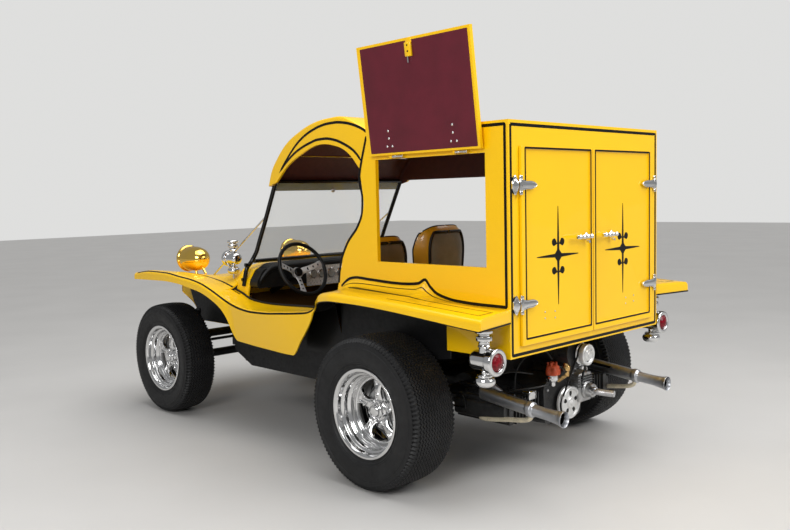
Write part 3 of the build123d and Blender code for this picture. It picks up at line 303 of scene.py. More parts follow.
# %% Material helper
def finish(name, colour, roughness, metallic=0.0, coat=0.0, coat_roughness=0.03, vary=0.0, vary_scale=8.0,
           rough_vary=0.0, bump=0.0, bump_scale=300.0, specular=0.5, transmission=0.0, ior=1.45):
    """A Principled finish whose colour, roughness and bump are varied by noise at named scales."""
    made = bpy.data.materials.new(name)
    made.use_nodes = True
    tree = made.node_tree
    shader = tree.nodes["Principled BSDF"]
    shader.inputs["Base Color"].default_value = (*colour, 1)
    shader.inputs["Roughness"].default_value = roughness
    shader.inputs["Metallic"].default_value = metallic
    shader.inputs["Coat Weight"].default_value = coat
    shader.inputs["Coat Roughness"].default_value = coat_roughness
    shader.inputs["Specular IOR Level"].default_value = specular
    shader.inputs["Transmission Weight"].default_value = transmission
    shader.inputs["IOR"].default_value = ior
    place = tree.nodes.new("ShaderNodeTexCoord")

    def noise(scale, detail=3.0):
        """Noise on Object coordinates."""
        node = tree.nodes.new("ShaderNodeTexNoise")
        node.inputs["Scale"].default_value = scale
        node.inputs["Detail"].default_value = detail
        tree.links.new(place.outputs["Object"], node.inputs["Vector"])
        return node.outputs["Fac"]

    def spread(source, low, high):
        """The noise's middle range stretched between two values."""
        node = tree.nodes.new("ShaderNodeMapRange")
        node.inputs["From Min"].default_value = 0.3
        node.inputs["From Max"].default_value = 0.7
        node.inputs["To Min"].default_value = low
        node.inputs["To Max"].default_value = high
        tree.links.new(source, node.inputs["Value"])
        return node.outputs["Result"]

    if vary:
        mix = tree.nodes.new("ShaderNodeMix")
        mix.data_type = "RGBA"
        mix.inputs["A"].default_value = (*[c * (1 - vary) for c in colour], 1)
        mix.inputs["B"].default_value = (*[min(1.0, c * (1 + vary)) for c in colour], 1)
        tree.links.new(spread(noise(vary_scale), 0, 1), mix.inputs["Factor"])
        tree.links.new(mix.outputs["Result"], shader.inputs["Base Color"])
    if rough_vary:
        low, high = max(0.0, roughness - rough_vary), roughness + rough_vary
        tree.links.new(spread(noise(vary_scale * 3, 5), low, high), shader.inputs["Roughness"])
    if bump:
        node = tree.nodes.new("ShaderNodeBump")
        node.inputs["Distance"].default_value = bump
        node.inputs["Strength"].default_value = 1.0
        tree.links.new(noise(bump_scale, 2), node.inputs["Height"])
        tree.links.new(node.outputs["Normal"], shader.inputs["Normal"])
    return made


# %% Finishes of this buggy
yellow_enamel = finish("yellow_enamel", (0.93, 0.545, 0.0), 0.36, coat=0.55, coat_roughness=0.02,
    vary=0.015, vary_scale=3.0, specular=0.3)
# Black for coach lines, trim, needles and soot, and also for discs of painted shade that stand in for holes
# and slots.
stripe_and_shade_black = finish("stripe_and_shade_black", (0.003, 0.003, 0.003), 0.3, vary=0.2, vary_scale=40.0, specular=0.25)
frame_black = finish("frame_black", (0.005, 0.005, 0.0055), 0.48, vary=0.3, vary_scale=20.0,
    rough_vary=0.1, bump=0.0002, bump_scale=220.0, specular=0.3)
gloss_black = finish("gloss_black", (0.004, 0.004, 0.004), 0.2, specular=0.4, rough_vary=0.05, vary=0.2)
chrome = finish("chrome", (0.7, 0.7, 0.7), 0.06, metallic=1.0, rough_vary=0.035, vary=0.04, vary_scale=12.0)
brushed = finish("brushed_aluminium", (0.56, 0.56, 0.57), 0.33, metallic=1.0, rough_vary=0.1, vary=0.08,
    vary_scale=60.0, bump=0.0001, bump_scale=900.0)
cast_metal = finish("cast_metal", (0.42, 0.42, 0.42), 0.42, metallic=1.0, rough_vary=0.12, vary=0.25,
    vary_scale=35.0, bump=0.0008, bump_scale=420.0)
engine_black = finish("engine_black", (0.014, 0.014, 0.014), 0.4, vary=0.5, vary_scale=25.0,
    rough_vary=0.15, bump=0.0006, bump_scale=260.0)
rubber = finish("tyre_rubber", (0.01, 0.01, 0.0105), 0.52, vary=0.25, vary_scale=15.0, rough_vary=0.08,
    bump=0.0003, bump_scale=700.0, specular=0.35)
maroon = finish("maroon_board", (0.105, 0.006, 0.016), 0.42, vary=0.12, vary_scale=10.0, bump=0.0004,
    bump_scale=900.0)
headlining = finish("brown_headlining", (0.085, 0.018, 0.012), 0.55, vary=0.15, vary_scale=30.0,
    bump=0.0006, bump_scale=700.0)
red_lens = finish("red_lens", (0.16, 0.0, 0.006), 0.1, specular=0.35, vary=0.5, vary_scale=90.0,
    bump=0.001, bump_scale=180.0)
# Chrome with the yellow body's reflection painted into its colour, for the headlamp shells.
chrome_painted_yellow_reflection = finish("chrome_painted_yellow_reflection", (0.95, 0.62, 0.13), 0.05, metallic=1.0, rough_vary=0.03, vary=0.06)
satin = finish("satin_steel", (0.68, 0.68, 0.67), 0.36, metallic=0.6, rough_vary=0.06, vary=0.05,
    vary_scale=50.0)
black_vinyl = finish("black_vinyl", (0.007, 0.007, 0.007), 0.42, vary=0.2, vary_scale=20.0, bump=0.0007,
    bump_scale=650.0, specular=0.35)
olive_vinyl = finish("olive_vinyl", (0.17, 0.16, 0.12), 0.38, vary=0.15, vary_scale=14.0, bump=0.0008,
    bump_scale=600.0)
# The seat shells' yellow-brown is the shell's yellow as it looks in shade: partly its own colour, partly
# painted shade.
shaded_seat_yellow = finish("shaded_seat_yellow", (0.6, 0.3, 0.008), 0.34, coat=0.5, vary=0.06, vary_scale=6.0,
    bump=0.0003, bump_scale=350.0)
brown_carpet = finish("brown_carpet", (0.105, 0.052, 0.014), 0.95, vary=0.4, vary_scale=180.0, bump=0.004,
    bump_scale=520.0, specular=0.1)
cap_orange = finish("coil_orange", (0.5, 0.075, 0.025), 0.45, vary=0.25, vary_scale=60.0, bump=0.0004)
brass = finish("brass", (0.62, 0.4, 0.16), 0.3, metallic=1.0, rough_vary=0.1, vary=0.15, vary_scale=50.0)
pale_floor = finish("pale_floor", (0.5, 0.49, 0.475), 0.55, vary=0.03, vary_scale=1.2)
print(len(bpy.data.materials), "finishes")

# %% [markdown]
# The body is one glass-fibre moulding: front wings that sweep down into a low sill, and rear wings
# that flare out over wide tyres. It could be sculpted by hand, but a builder works from
# measured stations, so here each station's crest, lip and inner edge come from a short table
# and the surface between them is worked out.

# %% Body tables, in metres
EDGE = np.array([
    # x, crest_y, crest_z, lip_y, lip_z
    (-0.700, 0.841, 0.846, 0.859, 0.795),
    (0.100, 0.838, 0.889, 0.857, 0.850),
    (0.220, 0.836, 0.891, 0.855, 0.851),
    (0.310, 0.817, 0.882, 0.836, 0.842),
    (0.360, 0.802, 0.872, 0.820, 0.832),
    (0.400, 0.774, 0.858, 0.792, 0.822),
    (0.460, 0.738, 0.836, 0.755, 0.806),
    (0.500, 0.710, 0.807, 0.725, 0.780),
    (0.547, 0.696, 0.777, 0.702, 0.752),
    (0.561, 0.702, 0.768, 0.706, 0.713),
    (0.597, 0.706, 0.757, 0.708, 0.658),
    (0.659, 0.712, 0.750, 0.706, 0.584),
    (0.704, 0.717, 0.746, 0.702, 0.526),
    (0.727, 0.719, 0.744, 0.700, 0.512),
    (0.770, 0.722, 0.741, 0.700, 0.512),
    (0.940, 0.727, 0.729, 0.700, 0.518),
    (1.050, 0.727, 0.727, 0.701, 0.523),
    (1.150, 0.727, 0.735, 0.701, 0.529),
    (1.240, 0.727, 0.753, 0.702, 0.536),
    (1.258, 0.727, 0.758, 0.714, 0.570),
    (1.285, 0.727, 0.766, 0.736, 0.657),
    (1.335, 0.728, 0.784, 0.746, 0.716),
    (1.420, 0.730, 0.816, 0.750, 0.760),
    (1.540, 0.732, 0.853, 0.752, 0.799),
    (1.650, 0.733, 0.872, 0.753, 0.816),
    (1.780, 0.735, 0.884, 0.755, 0.834),
    (1.945, 0.735, 0.899, 0.755, 0.842),
    (2.130, 0.735, 0.900, 0.755, 0.839),
    (2.335, 0.735, 0.878, 0.752, 0.834),
])
TRIM = np.array([
    # x, z of the cockpit's edge
    (0.460, 0.872), (0.490, 0.840), (0.520, 0.800), (0.560, 0.768), (0.600, 0.757), (0.782, 0.751),
    (0.961, 0.745), (1.080, 0.743), (1.198, 0.748), (1.277, 0.758), (1.347, 0.783), (1.420, 0.803),
])
JOINT = np.array([
    # x, z of the rear wing's edge on the box side
    (-0.700, 0.864), (-0.479, 0.865), (-0.337, 0.872), (-0.278, 0.882), (-0.230, 0.896), (-0.188, 0.925),
    (-0.157, 0.955), (-0.115, 0.936), (-0.061, 0.930), (0.005, 0.928), (0.212, 0.936), (0.306, 0.941),
    (0.359, 0.933), (0.437, 0.883), (0.460, 0.872),
])
HOOD = np.array([
    # x, z at the hood's edge, on the mound and on the crease
    (1.420, 0.938, 0.912, 0.808),
    (1.540, 0.912, 0.893, 0.842),
    (1.650, 0.891, 0.872, 0.864),
    (1.780, 0.866, 0.868, 0.879),
    (1.945, 0.842, 0.862, 0.887),
    (2.130, 0.822, 0.850, 0.886),
    (2.335, 0.800, 0.828, 0.868),
])
SKIN = 0.008
box_low, box_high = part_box("box_side_left")
BOX_Y = box_high.y


def stations(low, high, count, *tables):
    """Evenly spread places along x together with every table row between them."""
    rows = np.concatenate([table[:, 0] for table in tables])
    rows = rows[(rows > low) & (rows < high)]
    return np.unique(np.round(np.concatenate([np.linspace(low, high, count), rows]), 5))


def edge_line(x):
    """Crest, outer edge and lip at every x: the lip's outside stands at least 8 mm past the crest."""
    crest_y, crest_z, lip_y, lip_z = [curve(EDGE[:, 0], EDGE[:, k], x) for k in (1, 2, 3, 4)]
    drop = np.minimum(0.013, (crest_z - lip_z) / 2)
    outer_y = np.maximum(crest_y + 0.008, lip_y)
    return [(crest_y, crest_z), (outer_y, crest_z - drop), (lip_y, lip_z)]


def section(x, corners, radii):
    """Rounded (y, z) sections at every x as points of shape (stations, columns, 3)."""
    corners = np.stack([spread_grid(y, z) for y, z in corners], axis=-2)
    line = rounded(corners, radii)
    places = np.broadcast_to(x[:, None, None], (*line.shape[:2], 1))
    return np.concatenate([places, line], axis=-1)


def walled(line, thickness):
    """A section line and its back, offset to the right of its travel by one thickness."""
    along = np.gradient(line[..., 1:], axis=1)
    along /= np.linalg.norm(along, axis=-1, keepdims=True) + 1e-12
    back = line.copy()
    back[..., 1] += along[..., 1] * thickness
    back[..., 2] -= along[..., 0] * thickness
    return np.concatenate([line, back[:, ::-1]], axis=1)


# %% Front wings, sides and rear wings
def front_lines(x):
    """Front wing: hood edge, mound, crease, crest, outer edge and lip."""
    hood, mound, crease = [curve(HOOD[:, 0], HOOD[:, k], x) for k in (1, 2, 3)]
    flat = np.zeros_like(x)
    corners = [(flat + 0.344, hood), (flat + 0.43, (hood + mound) / 2 + 0.004), (flat + 0.5, mound),
        (flat + 0.6, crease)] + edge_line(x)
    return section(x, corners, [0, 0.06, 0.06, 0.06, 0.035, 0.012, 0])


def side_lines(x):
    """Tub side: cockpit wall, padded edge, sill, crest, outer edge and lip."""
    trim = curve(TRIM[:, 0], TRIM[:, 1], x)
    edge = edge_line(x)
    flat = np.zeros_like(x)
    cove = trim + 0.6 * (edge[0][1] - trim)
    corners = [(flat + 0.562, flat + 0.515), (flat + 0.578, trim), (flat + 0.64, cove)] + edge
    return section(x, corners, [0, 0.008, 0.05, 0.035, 0.012, 0])


def rear_lines(x):
    """Rear wing: flange up the box side, cove, crest, outer edge and lip."""
    joint = curve(JOINT[:, 0], JOINT[:, 1], x) - 0.01
    edge = edge_line(x)
    flat, crest_z = np.zeros_like(x), edge[0][1]
    rise = joint - crest_z
    flange_y = flat + BOX_Y + 0.0005
    corners = [(flange_y, flat + 0.8), (flange_y, joint), (flat + 0.63, crest_z + 0.6 * rise),
        (flat + 0.668, crest_z + 0.2 * rise + 0.002), (flat + 0.73, crest_z + 0.003)] + edge
    return section(x, corners, [0, 0.004, 0.03, 0.045, 0.06, 0.035, 0.012, 0])


front_x = stations(1.42, 2.335, 120, EDGE, HOOD)
side_x = stations(0.46, 1.42, 150, EDGE, TRIM)
rear_x = stations(-0.7, 0.46, 140, EDGE, JOINT)
front_line, side_line, rear_line = front_lines(front_x), side_lines(side_x), rear_lines(rear_x)


def tail_end(y):
    """x of the rear wing's end, which slants backwards from the box's corner outwards."""
    return -0.64 - 0.047 * (y - BOX_Y) / 0.25


def slanted_tail(points):
    """The wing's points, kept ahead of its slanting end."""
    cut = points.copy()
    cut[..., 0] = np.maximum(points[..., 0], tail_end(points[..., 1]))
    return cut


def under_band(line):
    """A thin closed band that follows the underside of a section line, at every third station."""
    near, far = [walled(line, depth)[:, line.shape[1]:] for depth in (SKIN + 0.0012, SKIN + 0.0028)]
    return np.concatenate([near[:, ::-1], far], axis=1)[::3]


for side, flip in SIDES:
    surface(f"front_wing_skin_{side}", flip(walled(front_line, SKIN)), yellow_enamel,
        replaces=[f"front_wing_{side}"])
    surface(f"side_skin_{side}", flip(walled(side_line, SKIN)), yellow_enamel, replaces=[f"body_side_{side}"])
joined("rear_wing_skins", both_sides([slanted_tail(walled(rear_line, SKIN))]), yellow_enamel,
    replaces=["rear_wings"])

nose_side = rounded([(1.422, 0.53), (1.422, 0.88), (1.8, 0.845), (2.2, 0.8), (2.325, 0.78), (2.325, 0.735),
    (2.285, 0.65), (2.228, 0.585), (2.196, 0.53)], [0.004] * 9, 3, closed=True)
linings = [under_band(front_line[:, 1:-1]), under_band(side_line[:, :-1]),
    slanted_tail(under_band(rear_line[:, 9:-1])) + [0.004, 0, 0], plate(nose_side, "y", (0.3465, 0.35))]
joined("arch_linings", both_sides(linings), frame_black, smooth=40)

tail_y = np.linspace(BOX_Y + 0.001, 0.857, 24)
tail_outline = rounded([(0.01, 0.8445), (-0.001, 0.8445), (-0.001, 0.797), (0.005, 0.797), (0.005, 0.838),
    (0.01, 0.838)], [0, 0.007, 0.001, 0.001, 0.003, 0], 5)
top_drop = np.interp(tail_y, [0.61, 0.66, 0.835, 0.857], [0.0085, 0.0035, 0.0, -0.012])[:, None]
tail_lip = spread_grid(tail_end(tail_y)[:, None] + tail_outline[:, 0], tail_y[:, None],
    tail_outline[:, 1] + top_drop * (tail_outline[:, 1] > 0.82))
joined("rear_wing_tail_lips", both_sides([tail_lip]), yellow_enamel, smooth=35)

lip_y, lip_z = [curve(EDGE[:, 0], EDGE[:, k], rear_x) for k in (3, 4)]
lip_edge = np.stack([rear_x, lip_y - 0.004, lip_z - 0.001], axis=1)[(rear_x > -0.686) & (rear_x < 0.41)]
tail_edge = np.stack([tail_end(tail_y), tail_y, 0 * tail_y + 0.7965], axis=1)
beading = tube(np.concatenate([tail_edge, lip_edge[1:]]), 0.0042, 10)
splash = rounded([(0.452, 0.52), (0.452, 0.79), (0.52, 0.775), (0.56, 0.748), (0.7, 0.745), (0.76, 0.52)],
    [0.004] * 6, 3, closed=True)
joined("wing_beading", both_sides([beading, plate(splash, "y", (0.5845, 0.5885))]), stripe_and_shade_black,
    smooth=40)
print("front wing stations", len(front_x), "side", len(side_x), "rear", len(rear_x))

# %% [markdown]
# The hood falls to a blunt nose between the wings, and the scuttle closes the front of the cab.
# The nose is a plain section, so a profile carried straight across is enough. The scuttle keeps its CAD
# piece.

# %% Nose
def across_profile(profile, half_width, round_edge):
    """An (x, z) outline carried from one side to the other, drawn in a little at both ends:
    the outline shrinks towards its middle by a quarter circle of the edge radius."""
    turn = np.linspace(0, np.pi / 2, 5)
    inset = round_edge * (1 - np.sin(turn))
    reach = half_width - round_edge * np.cos(turn)
    y = np.concatenate([-reach, reach[::-1]])
    shrink = np.concatenate([inset, inset[::-1]])
    middle = profile.mean(axis=0)
    away = profile - middle
    rows = middle + away * (1 - shrink[:, None, None] / np.linalg.norm(away, axis=1)[:, None])
    return spread_grid(rows[..., 0], y[:, None], rows[..., 1])


hood_x = np.linspace(1.421, 2.335, 30)
hood_top = np.stack([hood_x, curve(HOOD[:, 0], HOOD[:, 1], hood_x)], axis=1)
nose_front = rounded([(2.335, 0.8), (2.44, 0.76), (2.44, 0.706), (2.29, 0.64), (2.232, 0.578),
    (2.2, 0.526)], [0, 0.035, 0.008, 0.06, 0.04, 0])
nose_profile = np.concatenate([hood_top, nose_front[1:], [(1.421, 0.526)]])
surface("nose_shell", across_profile(nose_profile, 0.346, 0.006), yellow_enamel, replaces=["nose"])
print("nose profile points", len(nose_profile))

# %% [markdown]
# The canopy is a hollow arch. Its side is the band between two curves: the roof line outside and
# the C-shaped opening inside. Both are resampled to the same number of points, and at each of
# them one section runs from the opening's edge up the side, round the corner, over the roof and
# down the other side.

# %% Canopy
roof_line = resampled(rounded([(1.15, 1.405), (1.112, 1.5), (0.965, 1.64), (0.7, 1.736), (0.44, 1.744),
    (0.33, 1.706), (0.203, 1.638)], [0, 0.12, 0.25, 0.3, 0.15, 0.1, 0], 16), 70)
opening_line = resampled(rounded([(1.06, 1.425), (0.93, 1.525), (0.64, 1.626), (0.395, 1.575),
    (0.262, 1.438)], [0, 0.16, 0.19, 0.14, 0], 20), 70)
ROOF_REAR, ROOF_FRONT = 0.6, 0.513


def canopy_half_width(x):
    """The roof narrows in a straight line from the box to the windscreen."""
    return ROOF_REAR + (ROOF_FRONT - ROOF_REAR) * (x - 0.1) / (1.2 - 0.1)


def canopy_sections(drop, inset):
    """Sections over the roof, moved in by drop below the roof line and inset from the sides."""
    inward = unit(np.array([0.6, 1.3]) - roof_line)
    top = roof_line + inward * drop
    wide_low = canopy_half_width(opening_line[:, 0]) - inset
    wide_high = canopy_half_width(top[:, 0]) - inset
    low_left = np.stack([opening_line[:, 0], wide_low, opening_line[:, 1]], axis=1)
    high_left = np.stack([top[:, 0], wide_high, top[:, 1]], axis=1)
    corners = np.stack([low_left, high_left, mirrored(high_left), mirrored(low_left)], axis=1)
    return rounded(corners, [0, 0.016, 0.016, 0], 7)


canopy_out = canopy_sections(0.0, 0.0)
canopy_in = canopy_sections(0.013, 0.012)
surface("canopy_shell", np.concatenate([canopy_out, canopy_in[:, ::-1]], axis=1), yellow_enamel,
    replaces=["canopy"], smooth=35)
lining = canopy_sections(0.0145, 0.0135)
lining_back = canopy_sections(0.0165, 0.0155)
surface("roof_lining", np.concatenate([lining, lining_back[:, ::-1]], axis=1), headlining,
    smooth=35)
print("canopy sections", len(roof_line))

# %% [markdown]
# Black coach lines follow the edges. A line on a flat face is a thin ribbon: a smooth path with
# one strip of points to each side of it. A line on the curved wing rides on the wing's own
# section, at a length measured from the wing's crest, and stands 0.6 mm proud of it.

# %% Coach line tools
def ribbon(path, width, normal, proud=0.0006, taper=0.0, foot_depth=0.0004):
    """A flat strip along a path of 3-D points, with one width or one for every point."""
    path = np.asarray(path, float)
    normal = np.broadcast_to(np.asarray(normal, float), path.shape)
    side = unit(np.cross(np.gradient(path, axis=0), normal))
    count = len(path)
    ends = np.minimum(np.arange(count), np.arange(count)[::-1]) / max(count - 1, 1)
    fade = np.clip(ends / taper, 0.12, 1) if taper else np.ones(count)
    half = (np.asarray(width, float) / 2 * fade)[:, None]
    top, foot = path + normal * proud, path - normal * foot_depth
    return np.stack([foot - side * half, top - side * half, top + side * half, foot + side * half], axis=1)


def lengths_from_crest(line, crest_index):
    """The length along each section line, measured from its crest."""
    steps = np.linalg.norm(np.diff(line, axis=1), axis=-1)
    length = np.concatenate([np.zeros((len(line), 1)), np.cumsum(steps, axis=1)], axis=1)
    return length - length[:, crest_index][:, None]


def on_section(line, length_from_crest, crest_index):
    """Points and normals on section lines at a length from their crest, positive outwards."""
    length = lengths_from_crest(line, crest_index)
    wanted = np.broadcast_to(np.asarray(length_from_crest, float), (len(line),))
    after = np.clip((length < wanted[:, None]).sum(axis=1), 1, line.shape[1] - 1)
    rows = np.arange(len(line))
    a, b = line[rows, after - 1], line[rows, after]
    share = (wanted - length[rows, after - 1]) / (length[rows, after] - length[rows, after - 1] + 1e-9)
    across = (b - a) / (np.linalg.norm(b - a, axis=1)[:, None] + 1e-9)
    normal = np.stack([np.zeros(len(line)), -across[:, 2], across[:, 1]], axis=1)
    return a + (b - a) * share[:, None], normal


def at_width(line, y, crest_index):
    """The length from the crest where each section line passes a given y, one value or one per station."""
    length = lengths_from_crest(line, crest_index)
    y = np.broadcast_to(np.asarray(y, float), (len(line),))
    beyond = np.maximum(np.argmax(line[..., 1] > y[:, None], axis=1), 1)
    rows = np.arange(len(line))
    low, high = line[rows, beyond - 1, 1], line[rows, beyond, 1]
    share = np.clip((y - low) / (high - low + 1e-9), 0, 1)
    return length[rows, beyond - 1] + share * (length[rows, beyond] - length[rows, beyond - 1])


def section_ribbon(line, lengths, width, crest_index, keep):
    """A strip on the section lines, one width or one per station, at the stations to keep."""
    lengths = np.broadcast_to(lengths, (len(line),))[keep]
    half = np.broadcast_to(width, (len(line),))[keep] / 2
    columns = []
    for shift, proud in ((-half, -0.0006), (-half, 0.0006), (0 * half, 0.0006), (half, 0.0006),
                         (half, -0.0006)):
        middle, normal = on_section(line[keep], lengths + shift, crest_index)
        columns.append(middle + normal * proud)
    return np.stack(columns, axis=1)


# %% [markdown]
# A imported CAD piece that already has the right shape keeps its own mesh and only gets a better
# finish. That is true of sheet-like parts such as the box sides, whose faces are plain planes.

# %% Finishes for the pieces that stay
def paint(material, *nodes):
    """Put a finish in every material slot of some CAD nodes."""
    for node in nodes:
        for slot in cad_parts[node].material_slots:
            slot.material = material


paint(yellow_enamel, "box_side_left", "box_side_right", "box_shell", "hatch", "cowl")
paint(maroon, "hatch_lining")
paint(headlining, "header_board")
paint(frame_black, "floor_pan", "frame", "inner_body", "front_beam", "track_rod", "rear_axle",
    "knuckle_left", "knuckle_right")
paint(cast_metal, *[f"drum_{end}_{side}" for end in ("front", "rear") for side in ("left", "right")])
paint(chrome, "brace_rods", "hinge_plates", "door_fittings_left", "door_fittings_right")
paint(engine_black, "engine")
paint(frame_black, "steering_column")
print("painted", sum(len(n.material_slots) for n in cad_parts.values()), "slots")

# %% [markdown]
# The coach lines. A sign painter lays them with a long soft brush along every edge, about 13 mm
# wide on the box and 5 to 11 mm on the wings, with a tapered end where the brush lifts. The line
# that borders the box side runs up the rear edge, forward under the roof, down the cab's pillar
# and back over the wing's joint, as one closed loop.

# %% Lines on the box and the canopy
BOX_LINE, WING_LINE = 0.0135, 0.011
joint_x = np.linspace(0.425, -0.6, 150)
joint_path = np.stack([joint_x, curve(JOINT[:, 0], JOINT[:, 1], joint_x) - 0.0025], axis=1)
pillar_path = smooth_path([(0.443, 0.905), (0.43, 0.99), (0.372, 1.105), (0.292, 1.19), (0.257, 1.26),
    (0.252, 1.33), (0.272, 1.42), (0.262, 1.47), (0.215, 1.618)], 70)
frame_path = rounded([(0.215, 1.618), (-0.622, 1.618), (-0.622, 0.8615), (-0.6, 0.862)],
    [0, 0.006, 0.006, 0], 6)
side_loop = np.concatenate([pillar_path, frame_path[1:-1], joint_path[::-1]])
outer_roof = smooth_path([(1.026, 1.478), (1.003, 1.496), (0.962, 1.533), (0.896, 1.587), (0.832, 1.631),
    (0.759, 1.666), (0.687, 1.689), (0.618, 1.704), (0.551, 1.711), (0.486, 1.712), (0.402, 1.703),
    (0.321, 1.684), (0.252, 1.657), (0.216, 1.632)], 120)
inner_roof = smooth_path([(1.024, 1.479), (1.004, 1.494), (0.963, 1.524), (0.91, 1.555), (0.86, 1.58),
    (0.786, 1.606), (0.714, 1.624), (0.645, 1.636), (0.578, 1.637), (0.491, 1.624), (0.407, 1.596),
    (0.346, 1.567), (0.307, 1.538), (0.272, 1.5)], 120)


def canopy_strip(path):
    """A line on the canopy's side, which leans in towards the windscreen."""
    lean = (ROOF_REAR - ROOF_FRONT) / 1.1
    points = np.stack([path[:, 0], canopy_half_width(path[:, 0]), path[:, 1]], axis=1)
    return ribbon(points, BOX_LINE, np.array([lean, 1.0, 0.0]) / np.hypot(lean, 1.0), taper=0.04)


rear_border = closed(rounded([(0.594, 1.616), (0.594, 0.657), (-0.594, 0.657), (-0.594, 1.616)],
    [0, 0.006, 0.006, 0], 6))
side_strip = ribbon(in_plane(evenly(side_loop), "y", BOX_Y), BOX_LINE, [0, 1, 0])
rear_strip = ribbon(in_plane(evenly(rear_border), "x", box_low.x - AXLE), BOX_LINE, [-1, 0, 0])
joined("box_side_lines", both_sides([side_strip]), stripe_and_shade_black, smooth=30)
joined("canopy_lines", both_sides([canopy_strip(outer_roof), canopy_strip(inner_roof)]), stripe_and_shade_black,
    smooth=30)
joined("box_rear_lines", [rear_strip], stripe_and_shade_black, smooth=30)
print("coach lines on the box and canopy", len(side_loop), "points")

# %% Lines on the wings
CREST, SIDE_CREST, REAR_CREST = 22, 16, 29
SPEAR = np.array([
    # x, y and width of the long line on the rear wing
    (-0.632, 0.716, 0.0055), (-0.470, 0.722, 0.0055), (-0.290, 0.720, 0.0070), (-0.120, 0.712, 0.0110),
    (0.040, 0.706, 0.0190), (0.200, 0.694, 0.0270), (0.262, 0.686, 0.0260), (0.305, 0.670, 0.0015),
])
spear_y, spear_width = [np.interp(rear_x, SPEAR[:, 0], SPEAR[:, k]) for k in (1, 2)]
wing_lines = [section_ribbon(front_line, at_width(front_line, 0.6, CREST), WING_LINE, CREST,
    front_x < 2.3), section_ribbon(front_line, 0.008, WING_LINE, CREST, front_x < 2.31),
    section_ribbon(side_line, 0.008, WING_LINE, SIDE_CREST, side_x > 0.5),
    section_ribbon(side_line, at_width(side_line, 0.6, SIDE_CREST), WING_LINE, SIDE_CREST, side_x > 1.345),
    section_ribbon(rear_line, at_width(rear_line, 0.632, REAR_CREST), 0.006, REAR_CREST,
    (rear_x > -0.34) & (rear_x < 0.4)), section_ribbon(rear_line, at_width(rear_line, spear_y, REAR_CREST),
    spear_width, REAR_CREST, (rear_x > -0.632) & (rear_x < 0.306)), section_ribbon(rear_line,
    at_width(rear_line, 0.804, REAR_CREST), 0.0045, REAR_CREST, (rear_x > -0.634) & (rear_x < -0.1)),
    ribbon([(-0.632, 0.716, 0.8525), (-0.633, 0.76, 0.8515), (-0.634, 0.804, 0.8503)], 0.0055, [0, 0, 1],
    0.001)]
joined("wing_lines", both_sides(wing_lines), stripe_and_shade_black, smooth=30)
print("wing lines", len(wing_lines) * 2)

# %% [markdown]
# The tyres. The tread of this kind of tyre is cut by narrow grooves that zigzag round it, and the
# same wave scallops the shoulder. Modelling the wave by lifting points of a fine grid would need
# very many faces. Here the grid itself zigzags: every second row is pushed sideways, so each
# groove keeps crisp walls with only four columns of points.

# %% Tyres
def tyre_grid(radius, width, rim_width, grooves, waves):
    """Points of a left tyre about its own axle. Row k stands at angle pi k / waves, and column c
    lies at y = y_c + swing w_c z_k and r = r_c - s_c (1 + z_k) / 2, where z_k = +1, -1, +1, ..."""
    swing, shoulder_low, ring_half = 0.0052, radius - 0.027, 0.0026
    half, bead, tread = width / 2, rim_width / 2 - 0.01, width / 2 - 0.022
    wall = rounded([(0.19, bead), (0.207, bead + 0.004), (0.232, half - 0.007), (0.276, half - 0.0005),
        (radius - 0.045, half - 0.001), (shoulder_low, half - 0.0045)], [0, 0.006, 0.02, 0.05, 0.03, 0], 8)
    rings = (0.226, 0.234, radius - 0.05)
    steps = np.array([-ring_half, -0.0016, 0.0016, ring_half])
    r = np.unique(np.concatenate([np.linspace(0.19, shoulder_low, 16)] + [ring + steps for ring in rings]))
    lift = sum(np.interp(r, ring + steps, [0, 0.0013, 0.0013, 0]) for ring in rings)
    side = np.stack([r, np.interp(r, wall[:, 0], wall[:, 1]) + lift - 0.0013, 0 * r, 0 * r], axis=1)
    shoulder = np.array([
        # r, y, share of the swing, depth of the scallop
        (radius - 0.0255, half - 0.0075, 0.7, 0.004),
        (radius - 0.0165, half - 0.0095, 1.0, 0.006),
        (radius - 0.0100, tread + 0.0050, 1.0, 0.0),
    ])
    centres = np.linspace(tread - 0.01, 0.01 - tread, grooves)
    cut = np.array([(0.003, 0.0), (0.002, 0.007), (-0.002, 0.007), (-0.003, 0.0)])
    y = (centres[:, None] + cut[None, :, 0]).reshape(-1)
    crown = radius - 0.007 * (y / tread) ** 2
    top = np.stack([crown - np.tile(cut[:, 1], grooves), y, np.ones_like(y), 0 * y], axis=1)
    inner = np.array([(0.194, 0.022 - bead, 0, 0), (radius - 0.016, 0.014 - tread, 0, 0),
        (radius - 0.016, tread - 0.014, 0, 0), (0.194, bead - 0.022, 0, 0)])
    flip = np.array([1.0, -1.0, 1.0, 1.0])
    columns = np.concatenate([side, shoulder, top, (shoulder * flip)[::-1], (side * flip)[::-1], inner])
    zig = np.where(np.arange(2 * waves) % 2 == 0, 1.0, -1.0)[:, None]
    angle = (np.arange(2 * waves) * np.pi / waves)[:, None]
    r = columns[:, 0] - columns[:, 3] * (1 + zig) / 2
    y = columns[:, 1] + swing * columns[:, 2] * zig
    return np.stack([r * np.cos(angle), np.broadcast_to(y, r.shape), r * np.sin(angle)], axis=-1)


